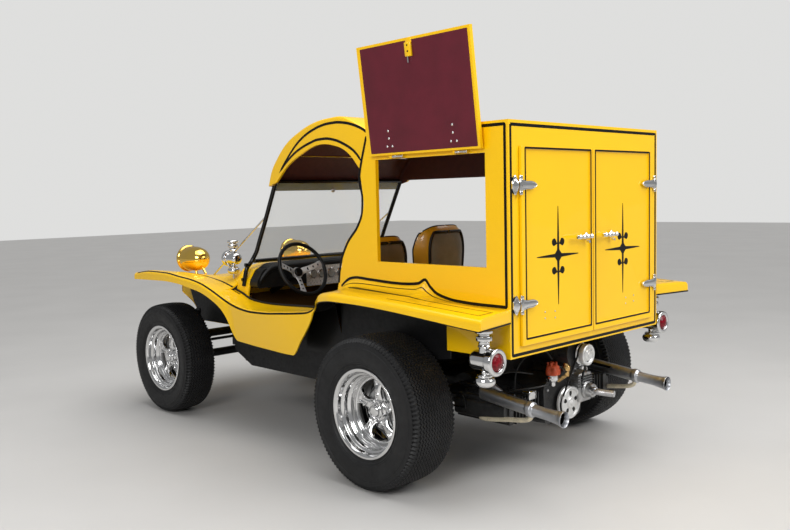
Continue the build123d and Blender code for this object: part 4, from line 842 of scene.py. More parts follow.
WHEELS = (
    # end, axle x, track, radius, width, rim width, cap reach, grooves, waves
    ("front", WHEELBASE, 1.310, 0.344, 0.205, 0.180, 0.040, 9, 104),
    ("rear", 0.0, 1.508, 0.355, 0.265, 0.230, 0.063, 13, 108),
)
for end, axle_x, track, radius, width, rim_width, _, grooves, waves in WHEELS:
    grid = tyre_grid(radius, width, rim_width, grooves, waves) + [axle_x, track / 2, radius]
    for side, flip in SIDES:
        surface(f"{end}_tyre_{side}", flip(grid), rubber, f"wheel_{end}_{side}",
            wrap_rows=True, replaces=[f"tyre_{end}_{side}"], smooth=32)
    print(end, "tyre", grid.shape[:2])

# %% [markdown]
# The wheels are polished dished rims. Each has a turned barrel with steps that catch the light as
# bright rings, and a cast centre of five slotted spokes between five openings. The barrel, the
# hub and the cap are turned profiles. A spoke is a strip from hub to barrel whose width and
# crown change along it and whose middle is sunk to make its slot.

# %% Wheel rims
def rolled(points, angle):
    """Points with x and y turned by an angle about z, before they are put in place."""
    c, s = np.cos(angle), np.sin(angle)
    return points @ np.array([[c, s, 0], [-s, c, 0], [0, 0, 1]])


def spoke_grid(hub_y, reach, angle):
    """One spoke as a closed tube: rows from the hub outwards, columns round its section. Its half
    width is 20 mm at the waist and opens to both ends, and a groove 10 mm deep runs up its middle."""
    t = np.linspace(0, 1, 26)[:, None]
    r = 0.046 + (reach - 0.046) * t
    half = 0.0195 + 0.02 * (2 * np.abs(t - 0.42)) ** 2.2
    s = np.array([-1.0, -0.97, -0.8, -0.5, -0.4, -0.3, 0.0, 0.3, 0.4, 0.5, 0.8, 0.97, 1.0])[None, :]
    slot = np.clip((t - 0.22) / 0.1, 0, 1) * np.clip((0.86 - t) / 0.1, 0, 1)
    sunk = np.interp(np.abs(s), [0.3, 0.4, 0.5], [1.0, 0.5, 0.0]) * slot * 0.01
    face = hub_y + 0.01 * np.sin(np.pi * t) + 0.004 - 0.008 * s ** 4 - 0.006 * t - sunk
    front_points = spread_grid(r, s * half, face)
    back_points = spread_grid(r, s * half, hub_y - 0.016)[:, ::-1]
    loop = rolled(np.concatenate([front_points, back_points], axis=1), angle)
    return loop[..., [0, 2, 1]]


def rim_parts(half, hub_y):
    """The barrel, the ring that carries the spokes and the hub with its cap, as turned grids."""
    seat = half - 0.04
    barrel = rounded([(0.187, half - 0.01), (0.193, half - 0.002), (0.2, half), (0.208, half),
        (0.208, half - 0.007), (0.194, half - 0.009), (0.19, seat), (0.163, seat - 0.022),
        (0.163, 0.03 - seat), (0.19, -seat), (0.194, 0.009 - half), (0.208, 0.007 - half), (0.208, -half),
        (0.2, -half), (0.187, 0.008 - half), (0.185, -seat), (0.157, 0.03 - seat), (0.157, seat - 0.026),
        (0.17, seat - 0.018), (0.172, seat + 0.004), (0.184, seat + 0.01)],
        [0.002, 0.002, 0.003, 0.003, 0.003, 0.002, 0.004, 0.006, 0.006, 0.004, 0.002, 0.003, 0.003, 0.002,
        0.003, 0.005, 0.006, 0.005, 0.004, 0.004, 0.003], 5, closed=True)
    ring = rounded([(0.144, hub_y + 0.002), (0.15, hub_y + 0.006), (0.158, hub_y + 0.004),
        (0.158, hub_y - 0.02), (0.144, hub_y - 0.016)], [0.003, 0.003, 0.001, 0.001, 0.003], 4, closed=True)
    hub = rounded([(0.0005, hub_y - 0.022), (0.052, hub_y - 0.022), (0.054, hub_y + 0.004),
        (0.046, hub_y + 0.01), (0.038, hub_y + 0.01), (0.037, hub_y + 0.018), (0.029, hub_y + 0.021),
        (0.027, hub_y + 0.029), (0.021, hub_y + 0.034), (0.0005, hub_y + 0.035)],
        [0, 0.002, 0.003, 0.003, 0.001, 0.003, 0.002, 0.002, 0.003, 0], 4, closed=True)
    return [lathe(closed(line), "y", (0, 0, 0), 72) for line in (barrel, ring, hub)]


NUT = np.array([(0.0005, 0.0), (0.0085, 0.0), (0.0085, 0.011), (0.006, 0.017), (0.0005, 0.018),
    (0.0005, 0.0)])
for end, axle_x, track, radius, width, rim_width, cap_reach, _, _ in WHEELS:
    hub_y = rim_width / 2 - cap_reach - 0.035
    origin = np.array([axle_x, track / 2, radius])
    spokes = [spoke_grid(hub_y, 0.148, np.radians(90 + 72 * k)) + origin for k in range(5)]
    nuts = [lathe(NUT, "y", (0.045 * np.cos(a), hub_y + 0.004, 0.045 * np.sin(a)), 12)
        for a in np.radians(54 + 72 * np.arange(5))]
    turned_parts = [part + origin for part in rim_parts(rim_width / 2, hub_y) + nuts]
    for side, flip in SIDES:
        merged(f"{end}_rim_{side}", [flip(g) for g in turned_parts], [flip(g) for g in spokes], chrome,
            f"wheel_{end}_{side}", replaces=[f"rim_{end}_{side}"])
    print(end, "rim", len(turned_parts), "turned parts", len(spokes), "spokes")

# %% [markdown]
# The rear doors are frames with a sunk panel. A stack of rectangles makes one: each row is a
# rectangle with its own four sides, its own depth and a small corner radius, so the edge, the
# frame, the bead and the panel are all one closed surface.

# %% Rear doors
def rectangle_rows(rows):
    """Rings (y_low, y_high, z_low, z_high, x, corner radius), each with 5 points per corner."""
    turn = np.radians(np.linspace(0, 90, 5))
    rings = []
    for y0, y1, z0, z1, x, radius in rows:
        ring = []
        for cy, cz, start in ((y1 - radius, z1 - radius, 0), (y0 + radius, z1 - radius, 90),
                              (y0 + radius, z0 + radius, 180), (y1 - radius, z0 + radius, 270)):
            angle = turn + np.radians(start)
            ring.append(np.stack([np.full(5, x), cy + radius * np.cos(angle), cz + radius * np.sin(angle)],
                axis=1))
        rings.append(np.concatenate(ring))
    return np.stack(rings)


def inset_rows(outer, inner, share, x, radius):
    """The rectangle at a share of the way from an outer to an inner one."""
    sides = [a + (b - a) * share for a, b in zip(outer, inner)]
    return (*sides, x, radius)


LEAF = (0.003, 0.54, 0.69, 1.529)
PLUG = (0.01, 0.522, 0.708, 1.511)
RECESS = (0.0225, 0.5095, 0.7234, 1.5176)
PANEL = (0.0385, 0.4935, 0.7394, 1.5016)
face_x = -0.6535
door_rows = rectangle_rows([(*PLUG, -0.622, 0.004), (*PLUG, -0.6414, 0.004), (*LEAF, -0.6415, 0.003),
    (*LEAF, face_x + 0.002, 0.003), inset_rows(LEAF, RECESS, 0.06, face_x, 0.003),
    inset_rows(LEAF, RECESS, 0.93, face_x, 0.004), (*RECESS, face_x + 0.0012, 0.004),
    (*RECESS, face_x + 0.005, 0.004), inset_rows(RECESS, PANEL, 0.15, face_x + 0.007, 0.004),
    inset_rows(RECESS, PANEL, 0.85, face_x + 0.0078, 0.006), (*PANEL, face_x + 0.008, 0.006)])
for side, flip in SIDES:
    surface(f"rear_door_{side}", flip(door_rows), yellow_enamel, f"door_{side}", replaces=[f"door_{side}"],
        smooth=28)


def ornament(centre_y, level):
    """A four-armed star with two pairs of round leaves. Each arm's width falls as (1 - s)^0.8."""

    def leaf(y, z, widths, proud):
        """A flat leaf along (y, z) from the centre of the star."""
        path = np.stack(np.broadcast_arrays(level, centre_y + y, 1.058 + z), axis=1)
        return ribbon(path, widths, [-1, 0, 0], proud, foot_depth=0.0003)

    s = np.linspace(-1, 1, 41)
    arm_width = 0.003 + 0.015 * (1 - np.abs(s)) ** 0.8
    heart = np.linspace(-1, 1, 21)
    t = np.linspace(0, 1, 17)
    leaf_width = 0.006 + 0.029 * np.clip((t - 0.25) / 0.35, 0, 1) ** 0.8
    leaf_width *= np.sqrt(np.clip(1.01 - np.clip((t - 0.55) / 0.45, 0, 1) ** 2, 0.01, 1))
    leaves = [leaf(way * 0.047 * t, low + 0.008 + 0.014 * t, leaf_width, 0.0007) for low in (0.042, -0.083)
        for way in (-1, 1)]
    return [leaf(0 * s, 0.217 * s, arm_width, 0.0008), leaf(0.157 * s, 0 * s, arm_width, 0.0006),
        leaf(0 * heart, 0.04 * heart, 0.07 * (1 - np.abs(heart)) ** 1.5 + 0.001, 0.0009)] + leaves


panel_x = face_x + 0.008
door_line = closed(rounded([(0.0185, 0.7194), (0.5135, 0.7194), (0.5135, 1.5216), (0.0185, 1.5216)],
    [0.003] * 4, 4, closed=True))
SCREW = np.array([(0.0002, 0.0), (0.0038, 0.0), (0.0034, 0.0016), (0.0018, 0.0026), (0.0002, 0.0028),
    (0.0002, 0.0)])
for side, flip in SIDES:
    strips = ornament(0.27, panel_x) + [ribbon(in_plane(evenly(door_line), "x", face_x), 0.0085, [-1, 0, 0])]
    joined(f"door_lines_{side}", [flip(s) for s in strips], stripe_and_shade_black, f"door_{side}", smooth=30)
    heads = [lathe(SCREW * [1, -1], "x", (panel_x, y, z), 14) for y,
        z in ((0.371, 0.818), (0.371, 0.79), (0.297, 0.814), (0.297, 0.785))]
    merged(f"door_screws_{side}", [flip(h) for h in heads], [], brushed, f"door_{side}")
rail_bolts = [lathe(SCREW * [1.35, -1.2], "x", (-0.6402, y, 0.7), 14)
    for y in (-0.52, -0.255, 0.005, 0.265, 0.52)]
merged("box_rail_bolts", rail_bolts, [], brushed)
print("doors", door_rows.shape)


# %% [markdown]
# The carriage lamps are spun and soldered sheet metal, chromed: a drum with a red lens, a
# chimney with a scalloped cap above it and a round globe below. Each is a turned profile. The
# cap's scallops come from a radius that swells and shrinks sixteen times on the way round.

# %% Carriage lamps
lamp_glass = finish("lamp_glass", (0.75, 0.78, 0.78), 0.08, coat=1.0, vary=0.2, vary_scale=120.0,
    bump=0.0015, bump_scale=160.0)
LAMP_DRUM = rounded([(0.0004, 0.137), (0.028, 0.137), (0.043, 0.122), (0.043, 0.046), (0.046, 0.04),
    (0.057, 0.037), (0.059, 0.03), (0.059, 0.006), (0.054, 0.0), (0.04, 0.001), (0.037, 0.008),
    (0.035, 0.01), (0.0004, 0.01)], [0, 0.01, 0.012, 0.003, 0.003, 0.003, 0.004, 0.004, 0.004, 0.003,
    0.002, 0.002, 0], 5)
LAMP_LENS = np.array([(0.0004, -0.009), (0.012, -0.0075), (0.025, -0.0025), (0.0372, 0.006),
    (0.0372, 0.012), (0.0004, 0.012), (0.0004, -0.009)])
LAMP_STACK = rounded([(0.0004, 0.03), (0.026, 0.034), (0.0245, 0.056), (0.03, 0.062), (0.0255, 0.068),
    (0.0255, 0.082), (0.036, 0.085), (0.0375, 0.092), (0.036, 0.104), (0.0255, 0.108), (0.0255, 0.114),
    (0.039, 0.117), (0.04, 0.128), (0.036, 0.133), (0.0004, 0.134)],
    [0, 0.003, 0.004, 0.002, 0.003, 0.003, 0.002, 0.004, 0.002, 0.002, 0.002, 0.002, 0.004, 0.002, 0], 5)
LAMP_GLOBE = rounded([(0.0004, -0.03), (0.02, -0.034), (0.015, -0.044), (0.015, -0.054), (0.03, -0.057),
    (0.035, -0.061), (0.033, -0.066), (0.04, -0.07), (0.0465, -0.083), (0.043, -0.1), (0.03, -0.11),
    (0.0004, -0.1135)], [0, 0.002, 0.003, 0.003, 0.003, 0.003, 0.002, 0.003, 0.01, 0.008, 0.008, 0], 5)
STACK_X = 0.0725


def carriage_lamp(origin, size, facing):
    """Chrome grids and the lens grid of a lamp. facing is 1 when the lens looks back, -1 forwards."""
    stack = lathe(closed(LAMP_STACK), "z", (STACK_X, 0, 0), 48)
    reach = stack[..., :2] - [STACK_X, 0]
    angle = np.arctan2(reach[..., 1], reach[..., 0])
    wide = np.clip((np.linalg.norm(reach, axis=-1) - 0.027) / 0.008, 0, 1)
    stack[..., :2] = [STACK_X, 0] + reach * (1 - 0.05 * wide * (0.5 + 0.5 * np.cos(16 * angle)))[..., None]
    grids = [lathe(closed(LAMP_DRUM), "x", (0, 0, 0), 40), stack, lathe(closed(LAMP_GLOBE), "z",
        (STACK_X, 0, 0), 40)]
    lens = lathe(LAMP_LENS, "x", (0, 0, 0), 12)
    turn = np.array([facing, 1.0, 1.0]) * size
    return [g * turn + origin for g in grids], [lens * turn + origin]


tail_grids, tail_lens = carriage_lamp(np.array([-0.64, 0.69, 0.643]), 1.0, 1)
cowl_grids, cowl_lens = carriage_lamp(np.array([1.53, 0.555, 0.986]), 0.82, -1)
post = rod((-0.5675, 0.69, 0.77), (-0.5675, 0.69, 0.846), 0.009)
stem = rod((1.4705, 0.555, 0.868), (1.4705, 0.555, 0.9), 0.008)
merged("tail_lamp_bodies", both_sides(tail_grids), both_sides([post]), chrome, replaces=["tail_lamps"])
merged("tail_lamp_lenses", both_sides(tail_lens), [], red_lens, smooth=10)

HEADLAMP = np.array([2.21, 0.425, 0.953])
HEAD_SHELL = rounded([(0.0004, -0.212), (0.014, -0.211), (0.018, -0.203), (0.04, -0.198), (0.068, -0.17),
    (0.08, -0.12), (0.082, -0.06), (0.081, -0.026), (0.088, -0.021), (0.09, -0.012), (0.087, 0.0),
    (0.078, 0.001), (0.076, -0.01), (0.0004, -0.014)], [0, 0.002, 0.003, 0.008, 0.03, 0.03, 0.01, 0.002,
    0.003, 0.004, 0.003, 0.002, 0.002, 0], 6)
HEAD_LENS = np.array([(0.0004, 0.009), (0.03, 0.0075), (0.055, 0.003), (0.0765, -0.006), (0.0765, -0.01),
    (0.0004, -0.01), (0.0004, 0.009)])
head_shell = lathe(closed(HEAD_SHELL), "x", HEADLAMP, 64)
feet = [rod((2.106, 0.425, 0.848), (2.12, 0.425, 0.902), 0.0085), rod((1.994, 0.425, 0.858),
    (2.056, 0.425, 0.926), 0.0085)]
# The shells' gold tint is a painted reflection of the yellow body.
merged("headlamp_shells", both_sides([head_shell]), both_sides(feet), chrome_painted_yellow_reflection, replaces=["front_lamps"])
merged("cowl_lamp_bodies", both_sides(cowl_grids), both_sides([stem]), chrome)
merged("front_lenses", both_sides([lathe(HEAD_LENS, "x", HEADLAMP, 48)] + cowl_lens), [], lamp_glass)
print("lamps at", HEADLAMP)

# %% [markdown]
# The steering wheel has a padded rim, three flat spokes with drilled holes and a dished centre.
# Its plane leans by the column's angle, so points are worked out in the wheel's own axes (right,
# up in the plane, towards the driver) and then turned into the frame by one matrix.

# %% Steering wheel
WHEEL_CENTRE = np.array([1.1, 0.323, 0.924])
lean = np.radians(26.0)
WHEEL_AXES = np.array([[0.0, 1.0, 0.0], [np.sin(lean), 0.0, np.cos(lean)],
    [-np.cos(lean), 0.0, np.sin(lean)]])


def on_wheel(points):
    """Points in the wheel's axes as points of the buggy."""
    return np.asarray(points, float) @ WHEEL_AXES + WHEEL_CENTRE


turn = np.linspace(0, 2 * np.pi, 96, endpoint=False)[:, None]
around = np.linspace(0, 2 * np.pi, 20, endpoint=False)[None, :]
grip = 0.0112 + 0.0006 * np.cos(24 * turn) * np.clip(-np.cos(around), 0, 1)
rim_ring = np.stack([(0.159 + grip * np.cos(around)) * np.cos(turn),
    (0.159 + grip * np.cos(around)) * np.sin(turn), grip * np.sin(around) + 0 * turn], axis=-1)
surface("steering_rim", on_wheel(rim_ring), black_vinyl, "steering_wheel", wrap_rows=True,
    replaces=["steering_wheel"])
spokes, holes = [], []
for angle in np.radians([13, 171, 288]):
    t = np.linspace(0, 1, 12)[:, None]
    s = np.array([-1.0, -0.9, 0.9, 1.0])[None, :]
    half = 0.0225 - 0.007 * np.sin(np.pi * t)
    height = -0.062 * (1 - t) ** 1.4
    top, low = [spread_grid(0.02 + 0.137 * t, s * half, height + lift)
        for lift in (0.0016 * (np.abs(s) < 0.95), -0.0016)]
    spokes.append(on_wheel(rolled(np.concatenate([top, low[:, ::-1]], axis=1), angle)))
    # Black discs on each spoke stand for its drilled holes: painted shade of the dark seen through them.
    for share, size in ((0.34, 0.0088), (0.57, 0.0074), (0.78, 0.0062)):
        hole = lathe(closed([(0.0002, 0.0023), (size * 0.82, 0.0023), (size, 0.0019), (size, 0.0),
            (0.0002, 0.0)]), "z", (0.02 + 0.137 * share, 0, -0.062 * (1 - share) ** 1.4), 16)
        holes.append(on_wheel(rolled(hole, angle)))
hub = turned([(0.0004, -0.074, 0), (0.032, -0.074, 0.002), (0.034, -0.054, 0.003), (0.0004, -0.054, 0)],
    "z", (0, 0, 0), 32)
cap = turned([(0.0004, -0.056, 0), (0.0265, -0.056, 0.001), (0.0265, -0.042, 0.003),
    (0.022, -0.037, 0.003), (0.0004, -0.036, 0)], "z", (0, 0, 0), 32)
merged("steering_spokes", [on_wheel(hub)], spokes, satin, "steering_wheel")
# The black centre cap, together with the painted-shade hole discs.
merged("steering_cap_and_hole_shade", holes + [on_wheel(cap)], [], stripe_and_shade_black, "steering_wheel")
print("steering wheel centre", WHEEL_CENTRE)

# %% [markdown]
# The dash is sheet aluminium with engine turning, which is a pattern of overlapping brushed
# circles pressed into it by a spinning pad. A Voronoi pattern gives each point its distance from
# the nearest circle's middle, and a sine of that distance makes the rings that catch the light.

# %% Dash
def engine_turned():
    """Brushed circles 21 mm across: height = sin(distance x ring count) round Voronoi points."""
    made = finish("engine_turned", (0.8, 0.78, 0.74), 0.3, metallic=0.6, rough_vary=0.06, vary=0.05,
        vary_scale=40.0)
    tree = made.node_tree
    shader = tree.nodes["Principled BSDF"]
    place = tree.nodes.new("ShaderNodeTexCoord")
    cells = tree.nodes.new("ShaderNodeTexVoronoi")
    cells.inputs["Scale"].default_value = 48.0
    cells.inputs["Randomness"].default_value = 0.12
    rings = tree.nodes.new("ShaderNodeMath")
    rings.operation = "MULTIPLY"
    rings.inputs[1].default_value = 42.0
    wave = tree.nodes.new("ShaderNodeMath")
    wave.operation = "SINE"
    bump = tree.nodes.new("ShaderNodeBump")
    bump.inputs["Distance"].default_value = 0.0002
    tree.links.new(place.outputs["Object"], cells.inputs["Vector"])
    tree.links.new(cells.outputs["Distance"], rings.inputs[0])
    tree.links.new(rings.outputs[0], wave.inputs[0])
    tree.links.new(wave.outputs[0], bump.inputs["Height"])
    tree.links.new(bump.outputs["Normal"], shader.inputs["Normal"])
    return made


turned_panel = engine_turned()
paint(black_vinyl, "dash")
DASH_X = 1.225


def facing_plate(y0, y1, z0, z1, x, thickness, radius):
    """A plate that faces back, with softened edges, as stacked rectangles."""
    return rectangle_rows([(y0, y1, z0, z1, x + thickness, radius), (y0, y1, z0, z1, x + 0.001, radius),
        (y0 + 0.001, y1 - 0.001, z0 + 0.001, z1 - 0.001, x, radius)])


surface("dash_face", facing_plate(-0.53, 0.2, 0.802, 0.922, DASH_X - 0.003, 0.003, 0.01), turned_panel,
    smooth=30)
GAUGES = (
    # y, z, radius and the needle's angle
    (0.150, 0.874, 0.026, 130), (0.085, 0.874, 0.026, 200), (0.010, 0.872, 0.030, 60),
    (-0.070, 0.872, 0.030, 90), (-0.290, 0.872, 0.034, 120), (-0.400, 0.866, 0.022, 80))
dial_grey = finish("dial_grey", (0.4, 0.39, 0.35), 0.35, vary=0.1, vary_scale=60.0)
bezels, dials, needles = [], [], []
for y, z, size, angle in GAUGES:
    outline = [(size * 0.86, -0.003), (size * 0.9, -0.009), (size, -0.007), (size * 1.02, 0.0),
        (size * 0.86, 0.0)]
    bezels.append(lathe(closed(outline), "x", (DASH_X - 0.003, y, z), 40))
    dials.append(disc(size * 0.87, -0.0035, 0.0, "x", (DASH_X - 0.003, y, z), 40))
    tip = (DASH_X - 0.0072, y + 0.6 * size * np.cos(np.radians(angle)),
        z + 0.6 * size * np.sin(np.radians(angle)))
    needles.append(rod((DASH_X - 0.0072, y, z), tip, 0.0008, 6))
merged("gauge_bezels", bezels, [], chrome)
merged("gauge_dials", dials, [], dial_grey)
merged("gauge_needles", [], needles, stripe_and_shade_black)
roll_y = np.linspace(-0.545, 0.545, 60)[:, None]
arch = 0.01 * (1 - (roll_y / 0.545) ** 2) - 0.07 * np.clip((np.abs(roll_y) - 0.44) / 0.105, 0, 1) ** 1.8
roll = rounded([(1.214, 0.915), (1.212, 0.936), (1.232, 0.95), (1.299, 0.954), (1.299, 0.916)],
    [0.006, 0.014, 0.014, 0, 0], 6, closed=True)
surface("dash_roll", spread_grid(roll[:, 0], roll_y, roll[:, 1] + arch), black_vinyl,
    smooth=50)
print("dash with", len(GAUGES), "gauges")

# %% Windscreen tint and cab trim
screen_glass = finish("screen_glass", (0.7, 0.76, 0.72), 0.03, coat=0.3, vary=0.03)
screen_glass.node_tree.nodes["Principled BSDF"].inputs["Alpha"].default_value = 0.14
visor_tint = finish("visor_tint", (0.2, 0.165, 0.004), 0.06, coat=0.4, vary=0.1)
visor_tint.node_tree.nodes["Principled BSDF"].inputs["Alpha"].default_value = 0.88
top, foot = np.array([1.098, 1.432]), np.array([1.345, 0.96])
down = (foot - top) / np.linalg.norm(foot - top)
out = np.array([-down[1], down[0]])


def screen_plate(y0, y1, d0, d1, level, thickness):
    """A plate in the windscreen's plane, d0 to d1 down from its top and raised by level."""
    grid = []
    for d in np.linspace(d0, d1, 5):
        at = top + down * d + out * level
        back = at + out * thickness
        grid.append([(at[0], y0, at[1]), (at[0], y1, at[1]), (back[0], y1, back[1]), (back[0], y0, back[1])])
    return np.array(grid)


surface("windscreen_pane", screen_plate(-0.49, 0.49, 0.004, 0.526, 0.0, 0.004), screen_glass,
    replaces=["windscreen_glass"], smooth=20)
surface("sun_band", screen_plate(-0.484, 0.484, 0.01, 0.062, 0.0055, 0.0075), visor_tint,
    smooth=20)
bars = [rod((1.098, -0.497, 1.432), (1.098, 0.497, 1.432), 0.01, 20),
    rod((1.338, -0.497, 0.972), (1.338, 0.497, 0.972), 0.012, 20)]
POST = np.array([(1.098, 0.497, 1.436), (1.203, 0.497, 1.231), (1.3, 0.5, 1.042), (1.326, 0.52, 0.978),
    (1.334, 0.556, 0.93), (1.345, 0.572, 0.83)])
bars += both_sides([tube(smooth_path(POST, 40), 0.0125, 18), rod((1.318, 0.545, 0.953),
    (1.322, 0.575, 0.955), 0.011, 16), rod((1.34, 0.56, 0.87), (1.344, 0.586, 0.868), 0.01, 16)])
merged("windscreen_rails", [], bars, gloss_black, replaces=["windscreen_frame"])


def trim_height(x):
    """Height of the cockpit's edge at every x."""
    return curve(TRIM[:, 0], TRIM[:, 1], x)


trim_x = np.linspace(0.47, 1.42, 120)
trim_path = np.stack([trim_x, 0 * trim_x + 0.5755, trim_height(trim_x) + 0.003], axis=1)
merged("cockpit_piping", [], both_sides([tube(trim_path, 0.0065, 12)]), black_vinyl)
mirror_glass = lathe(closed([(0.0003, -0.005), (0.012, -0.005), (0.0145, -0.002), (0.0145, 0.003),
    (0.0003, 0.005)]), "x", (1.088, 0.085, 1.38), 28)
merged("hanging_mirror", [mirror_glass], [rod((1.088, 0.085, 1.392), (1.096, 0.085, 1.426), 0.002, 8),
    rod((0.884, -0.516, 1.566), (0.884, 0.516, 1.566), 0.005, 10)], chrome)


def slab(top_grid, under_grid):
    """Points and faces of a closed sheet between two grids of the same shape."""
    rows, columns = top_grid.shape[:2]
    faces = grid_faces(rows, columns, False, False)
    count = rows * columns
    edge = border_of(np.arange(count).reshape(rows, columns))
    following = np.roll(edge, -1)
    sides = np.stack([edge, following, following + count, edge + count], axis=1)
    all_faces = np.concatenate([faces, faces[:, ::-1] + count, sides]).tolist()
    return np.concatenate([placed(top_grid).reshape(-1, 3), placed(under_grid).reshape(-1, 3)]), all_faces


def border_of(grid):
    """The rows and columns at a grid's border, once round."""
    return np.concatenate([grid[0, :-1], grid[:-1, -1], grid[-1, :0:-1], grid[:0:-1, 0]])


def sheet(name, top_grid, under_grid, material, slot="seat_cover", replaces=(), smooth=50):
    """A closed sheet between two grids as one piece of the body."""
    points, faces = slab(top_grid, under_grid)
    return finish_mesh(name, points, faces, material, "body", replaces, smooth)


for side, way in (("left", 1), ("right", -1)):
    x, y = np.linspace(0.425, 1.3, 60)[:, None], np.linspace(0.09, 0.545, 30)[None, :]
    pile = spread_grid(x, way * y, 0.3735 + 0.0012 * np.sin(31 * x) * np.sin(27 * y))
    sheet(f"floor_carpet_{side}", pile, pile - [0, 0, 0.0045], brown_carpet, smooth=60)
    x, t = np.linspace(0.425, 1.41, 50)[:, None], np.linspace(0.0, 1.0, 14)[None, :]
    wall = spread_grid(x, way * (0.5505 + 0.0145 * t), 0.44 + (trim_height(x) - 0.458) * t)
    sheet(f"side_carpet_{side}", wall, wall - [0, way * 0.003, 0], brown_carpet, smooth=60)
x, angle = np.linspace(0.425, 1.38, 50)[:, None], np.linspace(0, np.pi, 28)[None, :]
rise = np.maximum(0, 0.076 * (x - 1.311) / 0.169)
tunnel = spread_grid(x, 0.086 * np.cos(angle), 0.3735 + rise + 0.124 * np.sin(angle) ** 0.6)
sheet("tunnel_carpet", tunnel, tunnel * [1, 0.96, 1] - [0, 0, 0.003], brown_carpet, smooth=60)
footwell = []
for inset in (0.003, 0.0):
    plan = rounded([(1.306, 0.552 - inset), (1.404 - inset, 0.548 - inset), (1.404 - inset, inset - 0.548),
        (1.306, inset - 0.552)], [0, 0.02, 0.02, 0], 6)
    footwell.append(spread_grid(plan[:, 0], plan[:, 1], np.array([0.38, 0.6, 0.775])[:, None]))
sheet("footwell_carpet", *footwell, brown_carpet, smooth=60)
print("windscreen, carpets and piping")


# %% [markdown]
# The bucket seats are moulded shells whose edges curl forward into wings. One function gives
# them: u runs down the spine from the top of the back to the front of the cushion, v runs across
# from -1 to 1, and the edge comes forward as |v|^5 times a depth that varies down the seat, so
# the wing's front edge is an S. The rear panel, its piping and the cover follow the same function.

# %% Seat shells
SPINE = np.array([(0.05, -0.004), (0.034, -0.026), (0.026, -0.12), (0.034, -0.24), (0.056, -0.36),
    (0.092, -0.45), (0.15, -0.52), (0.25, -0.535), (0.35, -0.505), (0.46, -0.485), (0.552, -0.5)])
SPREAD = np.array([
    # share down the spine, half width, depth of the wing
    (0.00, 0.140, 0.044), (0.025, 0.157, 0.057), (0.05, 0.171, 0.068), (0.09, 0.184, 0.082),
    (0.14, 0.191, 0.092), (0.24, 0.186, 0.086), (0.36, 0.174, 0.052), (0.48, 0.180, 0.076),
    (0.60, 0.198, 0.094), (0.75, 0.206, 0.080), (0.92, 0.202, 0.045), (1.00, 0.190, 0.020)])


def seat_surface(u, v, back_x, centre_y, top_z):
    """Points of a seat at every (u, v): spine(u) + width(u) v sideways + depth(u) |v|^5 forwards."""
    length = running_length(SPINE)
    share = length / length[-1]
    drop = 1.0 + (top_z - 1.12) / 0.5
    u, v = np.broadcast_arrays(u, v)
    x, z = curve(share, SPINE[:, 0], u), curve(share, SPINE[:, 1], u) * drop
    step = 0.004
    ahead = np.stack([curve(share, SPINE[:, k], u + step) - curve(share, SPINE[:, k], u - step)
        for k in (0, 1)])
    ahead = ahead / np.linalg.norm(ahead, axis=0)
    width, depth = [curve(SPREAD[:, 0], SPREAD[:, k], u) for k in (1, 2)]
    forward = depth * np.abs(v) ** 5
    return np.stack([back_x + x - ahead[1] * forward, centre_y + width * v * (1 + 0.04 * np.abs(v) ** 8),
        top_z + z + ahead[0] * forward], axis=-1)


def grid_normals(grid):
    """Unit normals from the cross product of the grid's two directions."""
    normal = np.cross(np.gradient(grid, axis=0), np.gradient(grid, axis=1))
    return normal / (np.linalg.norm(normal, axis=-1, keepdims=True) + 1e-12)


SEATS = (
    # side, back x, centre y, top z
    ("left", 0.440, 0.240, 1.120),
    ("right", 0.495, -0.302, 1.160),
)
PANEL_TOP, PANEL_END, PANEL_SIDE = 0.04, 0.5, 0.73
for side, back_x, centre_y, top_z in SEATS:
    u, v = np.linspace(0, 1, 70)[:, None], np.linspace(-1, 1, 41)[None, :]
    shell = seat_surface(u, v, back_x, centre_y, top_z)
    normal = grid_normals(shell)
    sheet(f"seat_bucket_{side}", shell + normal * 0.004, shell - normal * 0.004, shaded_seat_yellow, "seat_shell",
        [f"seat_shell_{side}"])
    rim_u = np.concatenate([np.zeros(30), np.linspace(0, 1, 90), np.ones(30), np.linspace(1, 0, 90)])
    rim_v = np.concatenate([np.linspace(-1, 1, 30), np.ones(90), np.linspace(1, -1, 30), -np.ones(90)])
    around = seat_surface(rim_u, rim_v, back_x, centre_y, top_z)
    around = around[np.concatenate([[True], np.linalg.norm(np.diff(around, axis=0), axis=1) > 1e-5])]
    u, v = np.linspace(PANEL_TOP, PANEL_END, 36)[:, None], np.linspace(-PANEL_SIDE, PANEL_SIDE, 29)[None, :]
    corner = np.clip(1 - (u - PANEL_TOP) / 0.07, 0, 1) ** 2
    panel = seat_surface(u, v * (1 - 0.1 * corner), back_x, centre_y, top_z)
    normal = grid_normals(panel)
    behind = np.where(normal[..., :1] < 0, normal, -normal)
    crown = 0.006 + 0.01 * (1 - (v / PANEL_SIDE) ** 4) * np.sin(np.pi * (u - PANEL_TOP) / 0.4601) ** 0.35
    sheet(f"seat_back_panel_{side}", panel + behind * crown[..., None], panel + behind * 0.0035, olive_vinyl)
    cord = border_of(panel) + border_of(behind) * 0.0105
    merged(f"seat_piping_{side}", [], [tube(np.concatenate([cord, cord[:2]]), 0.0085, 10),
        tube(np.concatenate([around, around[:2]]), 0.0058, 10)], black_vinyl)
    base = rectangle_rows([(centre_y - 0.15, centre_y + 0.15, 0.378, 0.585, back_x + x, 0.01)
        for x in (0.18, 0.182, 0.33, 0.458, 0.46)])
    surface(f"seat_base_{side}", base, frame_black, smooth=30)
print("seats", len(SEATS))

# %% [markdown]
# The seat covers are padded vinyl with sewn channels. A pad starts as a slightly thin closed
# sheet over the shell and is blown up by a short cloth simulation, which pulls the middle out
# and keeps the edges in. The channels are pressed in afterwards, because the remesh that the
# cloth needs would remove them.

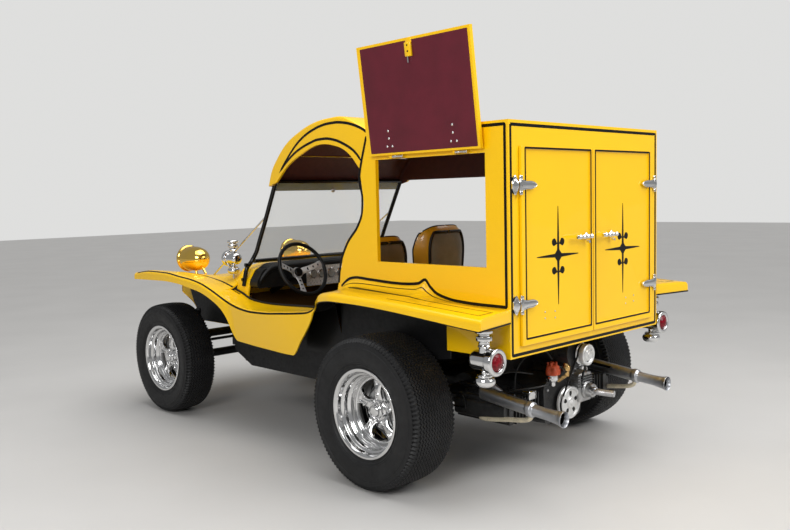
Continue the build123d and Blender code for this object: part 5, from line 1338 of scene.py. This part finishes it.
# %% Seat covers
def evaluated(obj):
    """A new mesh with the object's modifiers applied. They are removed from the object."""
    made = bpy.data.meshes.new_from_object(obj.evaluated_get(bpy.context.evaluated_depsgraph_get()))
    obj.modifiers.clear()
    return made


def puffed(obj, cap, voxel=0.008):
    """Inflate a closed mesh: remesh, 20 frames of cloth with pressure 4, movement capped, then fixed."""
    scene = bpy.context.scene
    remesh = obj.modifiers.new("even", "REMESH")
    remesh.mode = "VOXEL"
    remesh.voxel_size = voxel
    even = evaluated(obj)
    obj.data = even
    start = np.array([v.co for v in even.vertices])
    cloth = obj.modifiers.new("cloth", "CLOTH")
    cloth.settings.use_pressure = True
    cloth.settings.uniform_pressure_force = 4.0
    cloth.settings.effector_weights.gravity = 0.0
    for number in range(1, 21):
        scene.frame_set(number)
    moved = np.array([v.co for v in evaluated(obj).vertices])
    scene.frame_set(1)
    shift = moved - start
    length = np.linalg.norm(shift, axis=1, keepdims=True)
    shift *= np.minimum(1.0, cap / np.maximum(length, 1e-9))
    even.vertices.foreach_set("co", (start + shift).astype(np.float32).reshape(-1))
    even.update()
    return float(np.abs(shift).max())


COVER_U, COVER_V, CHANNEL = 0.035, 0.9, 0.0045
for side, back_x, centre_y, top_z in SEATS:
    u, v = np.linspace(COVER_U, 1 - COVER_U, 90)[:, None], np.linspace(-COVER_V, COVER_V, 45)[None, :]
    cover = seat_surface(u, v, back_x, centre_y, top_z)
    normal = grid_normals(cover)
    inward = np.where((normal[..., :1] + normal[..., 2:]) > 0, normal, -normal)
    from_side = np.clip((1 - np.abs(v) / COVER_V) / 0.18, 0, 1)
    from_end = np.clip(np.minimum(u - COVER_U, 1 - COVER_U - u) / 0.05, 0, 1)
    height = 0.0055 + 0.022 * from_side ** 0.6 * from_end ** 0.6
    pad = sheet(f"seat_cover_{side}", cover + inward * height[..., None], cover + inward * 0.0045,
        black_vinyl, replaces=[f"seat_pad_{side}"], smooth=0)
    moved = puffed(pad, 0.007)
    print("cover", side, "moved", round(moved, 4), "points", len(pad.data.vertices))
    soften = pad.modifiers.new("soften", "SUBSURF")
    soften.levels = soften.render_levels = 1
    pad.data = evaluated(pad)
    pad.data.materials.clear()
    pad.data.materials.append(black_vinyl)
    pad.data.shade_smooth()
    place = np.array([w.co for w in pad.data.vertices])
    across = (place[:, 1] - centre_y) / 0.16
    groove = np.clip(1 - np.abs((across * 4 + 0.5) % 1 - 0.5) / 0.14, 0, 1) * (np.abs(across) < 0.8)
    low_part = place[:, 2] < top_z - 0.3
    place[:, 0] -= CHANNEL * groove * ~low_part
    place[:, 2] -= CHANNEL * groove * low_part
    pad.data.vertices.foreach_set("co", place.astype(np.float32).reshape(-1))
print("seat covers")

# %% [markdown]
# The engine is a flat-four with its pulleys at the tail. Most of it is black tin and castings,
# which the CAD piece gives. The bright parts are added here: two pulleys and the belt round
# them, the distributor with its plug leads, the oil filler, a cast pump with its polished pipe,
# and the fan's ring.

# %% Engine dress
def pulley_profile(radius, front, back, groove_x):
    """A closed outline of a V-belt pulley: x from its back face to its front face."""
    return rounded([(0.0004, back), (radius - 0.004, back), (radius, back - 0.003),
        (radius, groove_x + 0.008), (radius - 0.01, groove_x + 0.002), (radius - 0.01, groove_x - 0.002),
        (radius, groove_x - 0.008), (radius, front + 0.003), (radius - 0.004, front),
        (radius - 0.012, front + 0.001), (radius - 0.015, front + 0.007), (0.03, front + 0.008),
        (0.026, front), (0.014, front - 0.001), (0.012, front - 0.006), (0.0004, front - 0.006)],
        [0] + [0.001] * 8 + [0.002] * 3 + [0.002, 0.001, 0.001, 0], 3)


CRANK = np.array([0.0, -0.006, 0.327])
FAN = np.array([0.0, -0.031, 0.565])
CRANK_BELT_X, FAN_BELT_X = -0.512, -0.575
crank = lathe(closed(pulley_profile(0.077, -0.527, -0.49, CRANK_BELT_X)), "x", CRANK, 72)
fan = lathe(closed(pulley_profile(0.051, -0.608, -0.562, FAN_BELT_X)), "x", FAN, 64)
ring_line = rounded([(0.054, -0.552), (0.062, -0.552), (0.064, -0.545), (0.064, -0.5), (0.054, -0.5)],
    [0.002] * 5, 3)
merged("bright_pulleys", [crank, fan], [], satin, replaces=["pulleys"])
merged("fan_ring", [lathe(closed(ring_line), "x", FAN, 64)], [], chrome)
# Black discs on the pulley faces stand for their slots and holes: painted shade of the openings.
slot_shade_disc = disc(0.01, 0.0, 0.003, "x", (0, 0, 0), 20)
radial, other = 0.046 + slot_shade_disc[..., 1] * 1.45, slot_shade_disc[..., 2]
slots = [spread_grid(slot_shade_disc[..., 0] - 0.5198, radial * np.cos(a) - other * np.sin(a),
    radial * np.sin(a) + other * np.cos(a)) + CRANK for a in np.radians(90 + 72 * np.arange(5))]
slots += [disc(0.0078, -0.6012, -0.598, "x", FAN + [0, 0.027 * np.cos(a), 0.027 * np.sin(a)], 16)
    for a in np.radians(30 + 120 * np.arange(3))]
merged("pulley_slot_shade", slots, [], stripe_and_shade_black)

CRANK_RADIUS, FAN_RADIUS = 0.07, 0.044
tangent = np.arccos((CRANK_RADIUS - FAN_RADIUS) / (FAN[2] - CRANK[2]))


def belt_arc(x, centre, radius, turn):
    """The belt's path round one pulley."""
    return spread_grid(x, centre[1] + radius * np.sin(turn), centre[2] + radius * np.cos(turn))


low_arc = belt_arc(CRANK_BELT_X, CRANK, CRANK_RADIUS, np.linspace(tangent, 2 * np.pi - tangent, 60))
high_arc = belt_arc(FAN_BELT_X, FAN, FAN_RADIUS, np.linspace(-tangent, tangent, 40))
belt_path = evenly(closed(np.concatenate([low_arc, high_arc])), 0.006)[:-1]
inward = unit(((CRANK + FAN) / 2 - belt_path) * [0, 1, 1])
belt = np.stack([belt_path + [across, 0, 0] + inward * depth for across,
    depth in ((-0.005, -0.004), (0.005, -0.004), (0.0033, 0.004), (-0.0033, 0.004))], axis=1)
surface("fan_belt", belt, rubber, wrap_rows=True, smooth=30)

DISTRIBUTOR = np.array([-0.489, 0.096, 0.0])
cap = turned([(0.0004, 0.474, 0), (0.03, 0.474, 0.002), (0.034, 0.48, 0.003), (0.034, 0.5, 0.003),
    (0.03, 0.506, 0.004), (0.028, 0.52, 0.004), (0.01, 0.526, 0.002), (0.009, 0.536, 0.001),
    (0.0004, 0.536, 0)], "z", DISTRIBUTOR, 40)
away = cap[..., :2] - DISTRIBUTOR[:2]
lobe = 1 + 0.1 * np.cos(5 * np.arctan2(away[..., 1], away[..., 0])) * (np.linalg.norm(away, axis=-1) > 0.02)
cap[..., :2] = DISTRIBUTOR[:2] + away * lobe[..., None]
tower_feet = [DISTRIBUTOR + [0.021 * np.cos(a), 0.021 * np.sin(a), 0.51]
    for a in np.radians(36 + 72 * np.arange(5))]
base = turned([(0.0004, 0.42, 0), (0.012, 0.42, 0.002), (0.0145, 0.428, 0.002), (0.0145, 0.44, 0.002),
    (0.023, 0.446, 0.002), (0.026, 0.452, 0.001), (0.026, 0.474, 0.001), (0.0004, 0.4745, 0)], "z",
    DISTRIBUTOR, 32)
merged("distributor_cap", [cap], [rod(foot, foot + [0, 0, 0.025], 0.0055, 10) for foot in tower_feet],
    cap_orange)
merged("distributor_body", [base], [rod(DISTRIBUTOR + [0, 0.024, 0.462],
    DISTRIBUTOR + [-0.006, 0.048, 0.458], 0.009)], chrome)
filler = turned([(0.0004, 0.466, 0), (0.014, 0.466, 0.001), (0.014, 0.49, 0.001), (0.0185, 0.494, 0.002),
    (0.019, 0.512, 0.002), (0.016, 0.518, 0.001), (0.016, 0.528, 0.002), (0.01, 0.534, 0.002),
    (0.0004, 0.535, 0)], "z", (-0.532, 0.044, 0), 32)
merged("oil_filler", [filler], [rod((-0.532, 0.044, 0.475), (-0.486, 0.05, 0.44), 0.012)], brass)


def soft_box(x0, x1, y0, y1, z0, z1, radius):
    """A rounded block as stacked rectangles along x."""
    soft = radius * 0.6
    end, full = (y0 + soft, y1 - soft, z0 + soft, z1 - soft), (y0, y1, z0, z1)
    return rectangle_rows([(*end, x0, radius), (*full, x0 + soft, radius), (*full, x1 - soft, radius),
        (*end, x1, radius)])


pump_cover = turned([(0.0004, -0.575, 0), (0.032, -0.575, 0.003), (0.034, -0.565, 0.003),
    (0.034, -0.545, 0.002), (0.044, -0.54, 0.002), (0.044, -0.525, 0.001), (0.0004, -0.525, 0)], "x",
    (0, -0.12, 0.372), 32, 3).transpose(1, 0, 2)[:, :-1]
pump_fins = [soft_box(-0.542, -0.452, -0.179, -0.058, z, z + 0.0045, 0.003)
    for z in np.arange(0.39, 0.45, 0.0125)]
joined("cast_pump", [soft_box(-0.535, -0.455, -0.175, -0.062, 0.315, 0.455, 0.014)] + pump_fins
    + [pump_cover], cast_metal, smooth=40)
pump_path = smooth_path([(-0.56, -0.11, 0.384), (-0.585, -0.085, 0.384), (-0.615, -0.078, 0.382),
    (-0.66, -0.088, 0.38), (-0.702, -0.097, 0.379)], 30)
merged("polished_pipe", [], [tube(pump_path, 0.0155, 22), tube(pump_path[10:13], 0.02, 22)], brushed)
merged("fuel_filter_box", [], [soft_box(-0.5, -0.455, 0.238, 0.292, 0.388, 0.428, 0.006)], chrome)
cream = finish("cream_tube", (0.62, 0.55, 0.4), 0.35, metallic=0.4, rough_vary=0.1, vary=0.15,
    vary_scale=30.0)
cream_path = smooth_path([(-0.3, 0.395, 0.325), (-0.322, 0.422, 0.306), (-0.39, 0.432, 0.312),
    (-0.473, 0.432, 0.325), (-0.58, 0.433, 0.341), (-0.61, 0.437, 0.356), (-0.617, 0.442, 0.38)], 50)
LEADS = (
    # each lead's points from the distributor or the shroud to its plug
    ((-0.487, 0.098, 0.550), (-0.470, 0.130, 0.590), (-0.400, 0.190, 0.560), (-0.380, 0.240, 0.480),
     (-0.380, 0.250, 0.395)),
    ((-0.486, 0.094, 0.548), (-0.440, 0.020, 0.560), (-0.420, -0.120, 0.520), (-0.400, -0.210, 0.470),
     (-0.380, -0.250, 0.395)),
    ((-0.470, 0.080, 0.470), (-0.500, 0.160, 0.440), (-0.450, 0.270, 0.430), (-0.360, 0.300, 0.402)),
    ((-0.545, -0.040, 0.500), (-0.520, -0.110, 0.520), (-0.420, -0.200, 0.520), (-0.300, -0.240, 0.500)),
    ((-0.260, 0.240, 0.404), (-0.300, 0.290, 0.470), (-0.380, 0.260, 0.500), (-0.420, 0.160, 0.480)))
merged("heater_pipes", [], both_sides([tube(cream_path, 0.0108, 18)]), cream)
merged("plug_leads", [], [tube(smooth_path(lead, 40), 0.0042, 10) for lead in LEADS], engine_black)
bolts = [disc(0.0062, -0.006, 0.004, "x", (-0.4805, y, z), 6) for y,
    z in ((-0.125, 0.275), (0.125, 0.275), (-0.13, 0.405), (0.13, 0.405), (0.0, 0.262), (-0.075, 0.458),
    (0.075, 0.458))]
merged("case_bolts", bolts, [], brushed)
print("engine parts", len(LEADS), "leads")


# %% Exhausts
def exhaust_turned(line, turns):
    """A turned shape of the left exhaust, lifted so that its middle follows the pipe's slope."""
    grid = lathe(closed(line), "x", (0, 0.443, 0), turns)
    grid[..., 2] += np.interp(grid[..., 0], [-0.793, -0.618, -0.35], [0.381, 0.398, 0.429])
    return grid


pipe_line = rounded([(0.0004, -0.35), (0.03, -0.35), (0.03, -0.6), (0.031, -0.604), (0.0345, -0.608),
    (0.0345, -0.63), (0.031, -0.634), (0.0255, -0.637), (0.025, -0.7), (0.0265, -0.73), (0.0305, -0.768),
    (0.035, -0.788), (0.0345, -0.792), (0.0325, -0.788), (0.028, -0.768), (0.024, -0.732), (0.0225, -0.7),
    (0.0225, -0.65), (0.0004, -0.65)], [0] + [0.003] * 17 + [0], 4)
SOOT_LINE = ((0.0004, -0.656), (0.0222, -0.656), (0.0222, -0.704), (0.0232, -0.737), (0.0266, -0.771),
    (0.026, -0.771), (0.0224, -0.735), (0.0215, -0.7), (0.0215, -0.662), (0.0004, -0.662))
elbow_path = smooth_path([(-0.33, 0.3, 0.4), (-0.318, 0.345, 0.432), (-0.325, 0.4, 0.437),
    (-0.352, 0.436, 0.43), (-0.372, 0.443, 0.427)], 30)
steel = finish("exhaust_steel", (0.5, 0.51, 0.53), 0.36, metallic=1.0, rough_vary=0.04, vary=0.05,
    vary_scale=20.0)
merged("exhaust_pipes", both_sides([exhaust_turned(pipe_line, 56)]),
    both_sides([tube(elbow_path, 0.023, 24)]), steel, replaces=["exhaust"])
merged("exhaust_soot", both_sides([exhaust_turned(SOOT_LINE, 40)]), [], stripe_and_shade_black)
strap_line = rounded([(-0.15, 0.4), (-0.235, 0.408), (-0.256, 0.345), (-0.16, 0.345)], [0.02] * 4, 8,
    closed=True)
strap_path = in_plane(strap_line, "y", 0.45)
strap = tube(np.concatenate([strap_path, strap_path[:2]]), 0.0048, 10)
stay = rod((-0.19, 0.418, 0.452), (-0.5, 0.404, 0.432), 0.0065)
merged("axle_straps", [], both_sides([strap, stay]), gloss_black)
print("exhausts")

# %% [markdown]
# The serving hatch stands open on two chrome hinges. Its bolts, its latch and its lining
# board are drawn shut, in the plane of the box side, and then turned by the same angle about the
# same hinge line as its CAD piece.

# %% Hatch fittings and door hardware
HATCH_TURN = np.radians(173.0)
HINGE_LINE = np.array([0.0, BOX_Y + 0.015, 1.517])


def swung(points):
    """Points drawn with the hatch shut, turned about the hinge line to where it stands open."""
    moved = np.asarray(points, float) - HINGE_LINE
    c, s = np.cos(HATCH_TURN), np.sin(HATCH_TURN)
    y, z = moved[..., 1].copy(), moved[..., 2].copy()
    moved[..., 1], moved[..., 2] = y * c - z * s, y * s + z * c
    return moved + HINGE_LINE


DOME = closed([(0.0002, -0.003), (0.003, -0.0026), (0.0052, -0.0012), (0.0058, 0.0), (0.0002, 0.0)])
bolt_places = [(x + dx, z) for x in (0.018, -0.375) for dx, z in ((0, 1.4), (0, 1.434), (0.015, 1.47),
    (-0.018, 1.47))]
hatch_back = BOX_Y + 0.001
board = rounded([(-0.506, 1.018), (0.146, 1.018), (0.146, 1.499), (-0.506, 1.499)], [0.004] * 4, 3,
    closed=True)
board_grid = plate(board, "y", (hatch_back + 0.005, hatch_back + 0.0005, hatch_back))
surface("hatch_board", swung(board_grid), maroon, "hatch", replaces=["hatch_lining"], smooth=30)
heads = [swung(lathe(DOME, "y", (x, hatch_back, z), 14)) for x, z in bolt_places]
latch_bar = rod((-0.162, hatch_back - 0.006, 1.085), (-0.162, hatch_back - 0.006, 1.114), 0.0035, 12)
merged("hatch_bolts", heads, [swung(latch_bar)], chrome, "hatch")
latch_plate = soft_box(-0.188, -0.15, hatch_back - 0.011, hatch_back + 0.001, 1.027, 1.088, 0.003)
latch_foot = soft_box(-0.188, -0.15, hatch_back - 0.0003, hatch_back + 0.003, 1.007, 1.032, 0.001)
joined("hatch_latch", [swung(latch_plate), swung(latch_foot)], yellow_enamel, "hatch")
# Black discs on the latch plate stand for its two eyes: painted shade of the holes.
eye_shade_discs = [disc(0.0042, hatch_back - 0.0118, hatch_back - 0.01, "y", (-0.169, 0, z), 14) for z in (1.04, 1.066)]
merged("hatch_latch_hole_shade", [swung(e) for e in eye_shade_discs], [], stripe_and_shade_black, "hatch")
knuckle = rounded([(0.0004, -0.034), (0.0075, -0.034), (0.0085, -0.031), (0.0085, -0.012), (0.007, -0.011),
    (0.007, 0.011), (0.0085, 0.012), (0.0085, 0.031), (0.0075, 0.034), (0.0004, 0.034)],
    [0] + [0.0008] * 8 + [0], 3)
hinge_covers = [lathe(closed(knuckle), "x", (x, HINGE_LINE[1], HINGE_LINE[2]), 20) for x in (-0.016, -0.402)]
merged("hatch_hinge_covers", hinge_covers, [], chrome)


PIN_X, PIN_Y = -0.6595, 0.552


def hinge_cast(s, t, way, z, reach, half, lift, base_x):
    """A cast hinge wing: s runs away from the pin, t across it, with a crown and a raised border."""
    y, height = way * (PIN_Y + reach * s), z + half * t
    raised = lift * (1 - 0.45 * t ** 2) + 0.0022 * np.clip((np.abs(t) - 0.72) / 0.12, 0, 1)
    return slab(spread_grid(base_x - raised, y, height), spread_grid(base_x, y, height))


def barrel_part(low, high, way):
    """Points and faces of a plain round barrel on the door's hinge pin."""
    grid = turned([(0.0004, low, 0), (PIN_RADIUS, low, 0.0015), (PIN_RADIUS, high, 0.0015),
        (0.0004, high, 0)], "z", (PIN_X, way * PIN_Y, 0), 20, 3)
    rows, columns = grid.shape[:2]
    return placed(grid).reshape(-1, 3), grid_faces(rows, columns, True, True).tolist()


def assembled(name, parts, body, replaces):
    """Parts made of points and faces as one chrome piece."""
    points, faces, start = [], [], 0
    for part_points, part_faces in parts:
        points.append(part_points)
        faces += [[start + k for k in face] for face in part_faces]
        start += len(part_points)
    return finish_mesh(name, np.concatenate(points), faces, chrome, body, replaces, smooth=40)


KNUCKLE_HALF, PIN_HALF, PIN_RADIUS, CLEARANCE = 0.0253, 0.04, 0.0085, 0.0003
HINGE_HEIGHTS = (1.367, 0.868)
s, t = np.linspace(0, 1, 22)[:, None], np.linspace(-1, 1, 21)[None, :]
plate_half = 0.016 + 0.025 * np.sin(np.pi * np.clip(0.1 + 0.95 * s, 0, 1)) ** 1.3
plate_lift = 0.0195 - 0.011 * s ** 0.7
strap_half = (0.023 - 0.0105 * s ** 0.8) * np.sqrt(np.clip(1.015 - s ** 9, 0.02, 1))
strap_half *= 1 + 0.08 * np.cos(3 * np.pi * s)
strap_lift = 0.0125 - 0.005 * s
plates = []
for way in (1, -1):
    for z in HINGE_HEIGHTS:
        plates.append(hinge_cast(0.28 + 0.72 * s, t, way, z, 0.044, plate_half, plate_lift, -0.6405))
        plates.append(barrel_part(z - PIN_HALF, z - KNUCKLE_HALF - CLEARANCE, way))
        plates.append(barrel_part(z + KNUCKLE_HALF + CLEARANCE, z + PIN_HALF, way))
assembled("door_hinge_plates", plates, "body", ["hinge_plates"])

HANDLE_Z, FOOT_Z = 1.133, 1.108
for side, way, pivot_y in (("left", 1, 0.058), ("right", -1, -0.155)):
    straps = []
    for z in HINGE_HEIGHTS:
        straps.append(hinge_cast(s, t, way, z, -0.112, strap_half, strap_lift, face_x + 0.0003))
        straps.append(barrel_part(z - KNUCKLE_HALF, z + KNUCKLE_HALF, way))
    assembled(f"hinge_straps_{side}", straps, f"door_{side}", [f"door_fittings_{side}"])
    along = np.linspace(-0.004, 0.116, 60)
    end_taper = 0.005 * np.clip((along - 0.112) / 0.004, 0, 1)
    swell = 0.0095 + 0.0022 * np.cos(2 * np.pi * along / 0.03) - end_taper
    handle = tube(spread_grid(face_x - 0.027, pivot_y + along, HANDLE_Z), swell, 18)
    stem = turned([(0.0004, -0.034, 0), (0.008, -0.034, 0.002), (0.0105, -0.028, 0.003),
        (0.0075, -0.018, 0.004), (0.0085, -0.008, 0.003), (0.016, -0.003, 0.002), (0.017, 0, 0.001),
        (0.0004, 0, 0)], "x", (face_x, pivot_y, HANDLE_Z), 28)
    knob = rod((face_x - 0.004, pivot_y, FOOT_Z), (face_x - 0.018, pivot_y, FOOT_Z), 0.0065, 16)
    merged(f"door_handle_{side}", [stem], [handle, knob], chrome, f"door_{side}")
print("hatch bolts", len(bolt_places), "hinges", 2 * len(HINGE_HEIGHTS))


# %% Floor, light and camera
def lit_panel(name, place, aim, size, power):
    """An area light at a place that looks at a point."""
    lamp = bpy.data.lights.new(name, "AREA")
    lamp.shape = "RECTANGLE"
    lamp.size, lamp.size_y = size
    lamp.energy = power
    obj = linked(name, lamp)
    obj.location = place
    obj.rotation_euler = (Vector(aim) - Vector(place)).to_track_quat("-Z", "Y").to_euler()


FLOOR_REACH = 30.0
corners = [(x * FLOOR_REACH, y * FLOOR_REACH, 0) for x, y in ((-1, -1), (1, -1), (1, 1), (-1, 1))]
floor_mesh = bpy.data.meshes.new("studio_floor")
floor_mesh.from_pydata(corners, [], [(0, 1, 2, 3)])
floor_mesh.materials.append(pale_floor)
floor_plane = linked("studio_floor", floor_mesh)
floor_plane.location = (0, 0, -0.0005)

world = bpy.data.worlds.new("studio_air")
bpy.context.scene.world = world
world.use_nodes = True
nodes, links = world.node_tree.nodes, world.node_tree.links
lighting = nodes["Background"]
lighting.inputs["Color"].default_value = (0.86, 0.87, 0.88, 1)
lighting.inputs["Strength"].default_value = 0.36
seen = nodes.new("ShaderNodeBackground")
seen.inputs["Color"].default_value = (0.8, 0.8, 0.79, 1)
seen.inputs["Strength"].default_value = 0.92
ray = nodes.new("ShaderNodeLightPath")
choose = nodes.new("ShaderNodeMixShader")
links.new(ray.outputs["Is Camera Ray"], choose.inputs["Fac"])
links.new(lighting.outputs["Background"], choose.inputs[1])
links.new(seen.outputs["Background"], choose.inputs[2])
links.new(choose.outputs["Shader"], nodes["World Output"].inputs["Surface"])
bpy.context.scene.view_settings.view_transform = "Standard"

lit_panel("ceiling_light", (-0.5, 0.5, 4.6), (0, 0, 0.6), (5.0, 3.0), 100)
lit_panel("side_light", (-2.5, 4.8, 3.0), (0, 0, 0.9), (2.5, 1.6), 120)
lit_panel("rear_light", (-5.0, -1.0, 3.2), (-0.8, 0, 0.9), (2.0, 1.6), 85)
day = bpy.data.lights.new("even_light", "SUN")
day.energy = 1.9
day.angle = np.radians(60)
linked("even_light", day).rotation_euler = np.radians([18, -22, 0])

FOCAL_PIXELS, PHOTO_WIDTH, SENSOR = 838.9, 790, 36.0
camera_data = bpy.data.cameras.new("photo_camera")
camera_data.sensor_width = SENSOR
camera_data.lens = FOCAL_PIXELS * SENSOR / PHOTO_WIDTH
camera = linked("photo_camera", camera_data)
yaw, pitch, roll = np.radians([-44.32, 4.636, -1.3225])
forward = np.array([np.cos(yaw) * np.cos(pitch), np.sin(yaw) * np.cos(pitch), -np.sin(pitch)])
level = unit(np.cross(forward, [0, 0, 1]))
upward = np.cross(level, forward)
right = level * np.cos(roll) + upward * np.sin(roll)
up = -level * np.sin(roll) + upward * np.cos(roll)
eye = np.array([-2.776 + AXLE, 3.355, 1.33])
camera.matrix_world = Matrix([(*[right[k], up[k], -forward[k], eye[k]],) for k in range(3)] + [(0, 0, 0, 1)])
bpy.context.scene.camera = camera
print("camera at", eye.round(3))
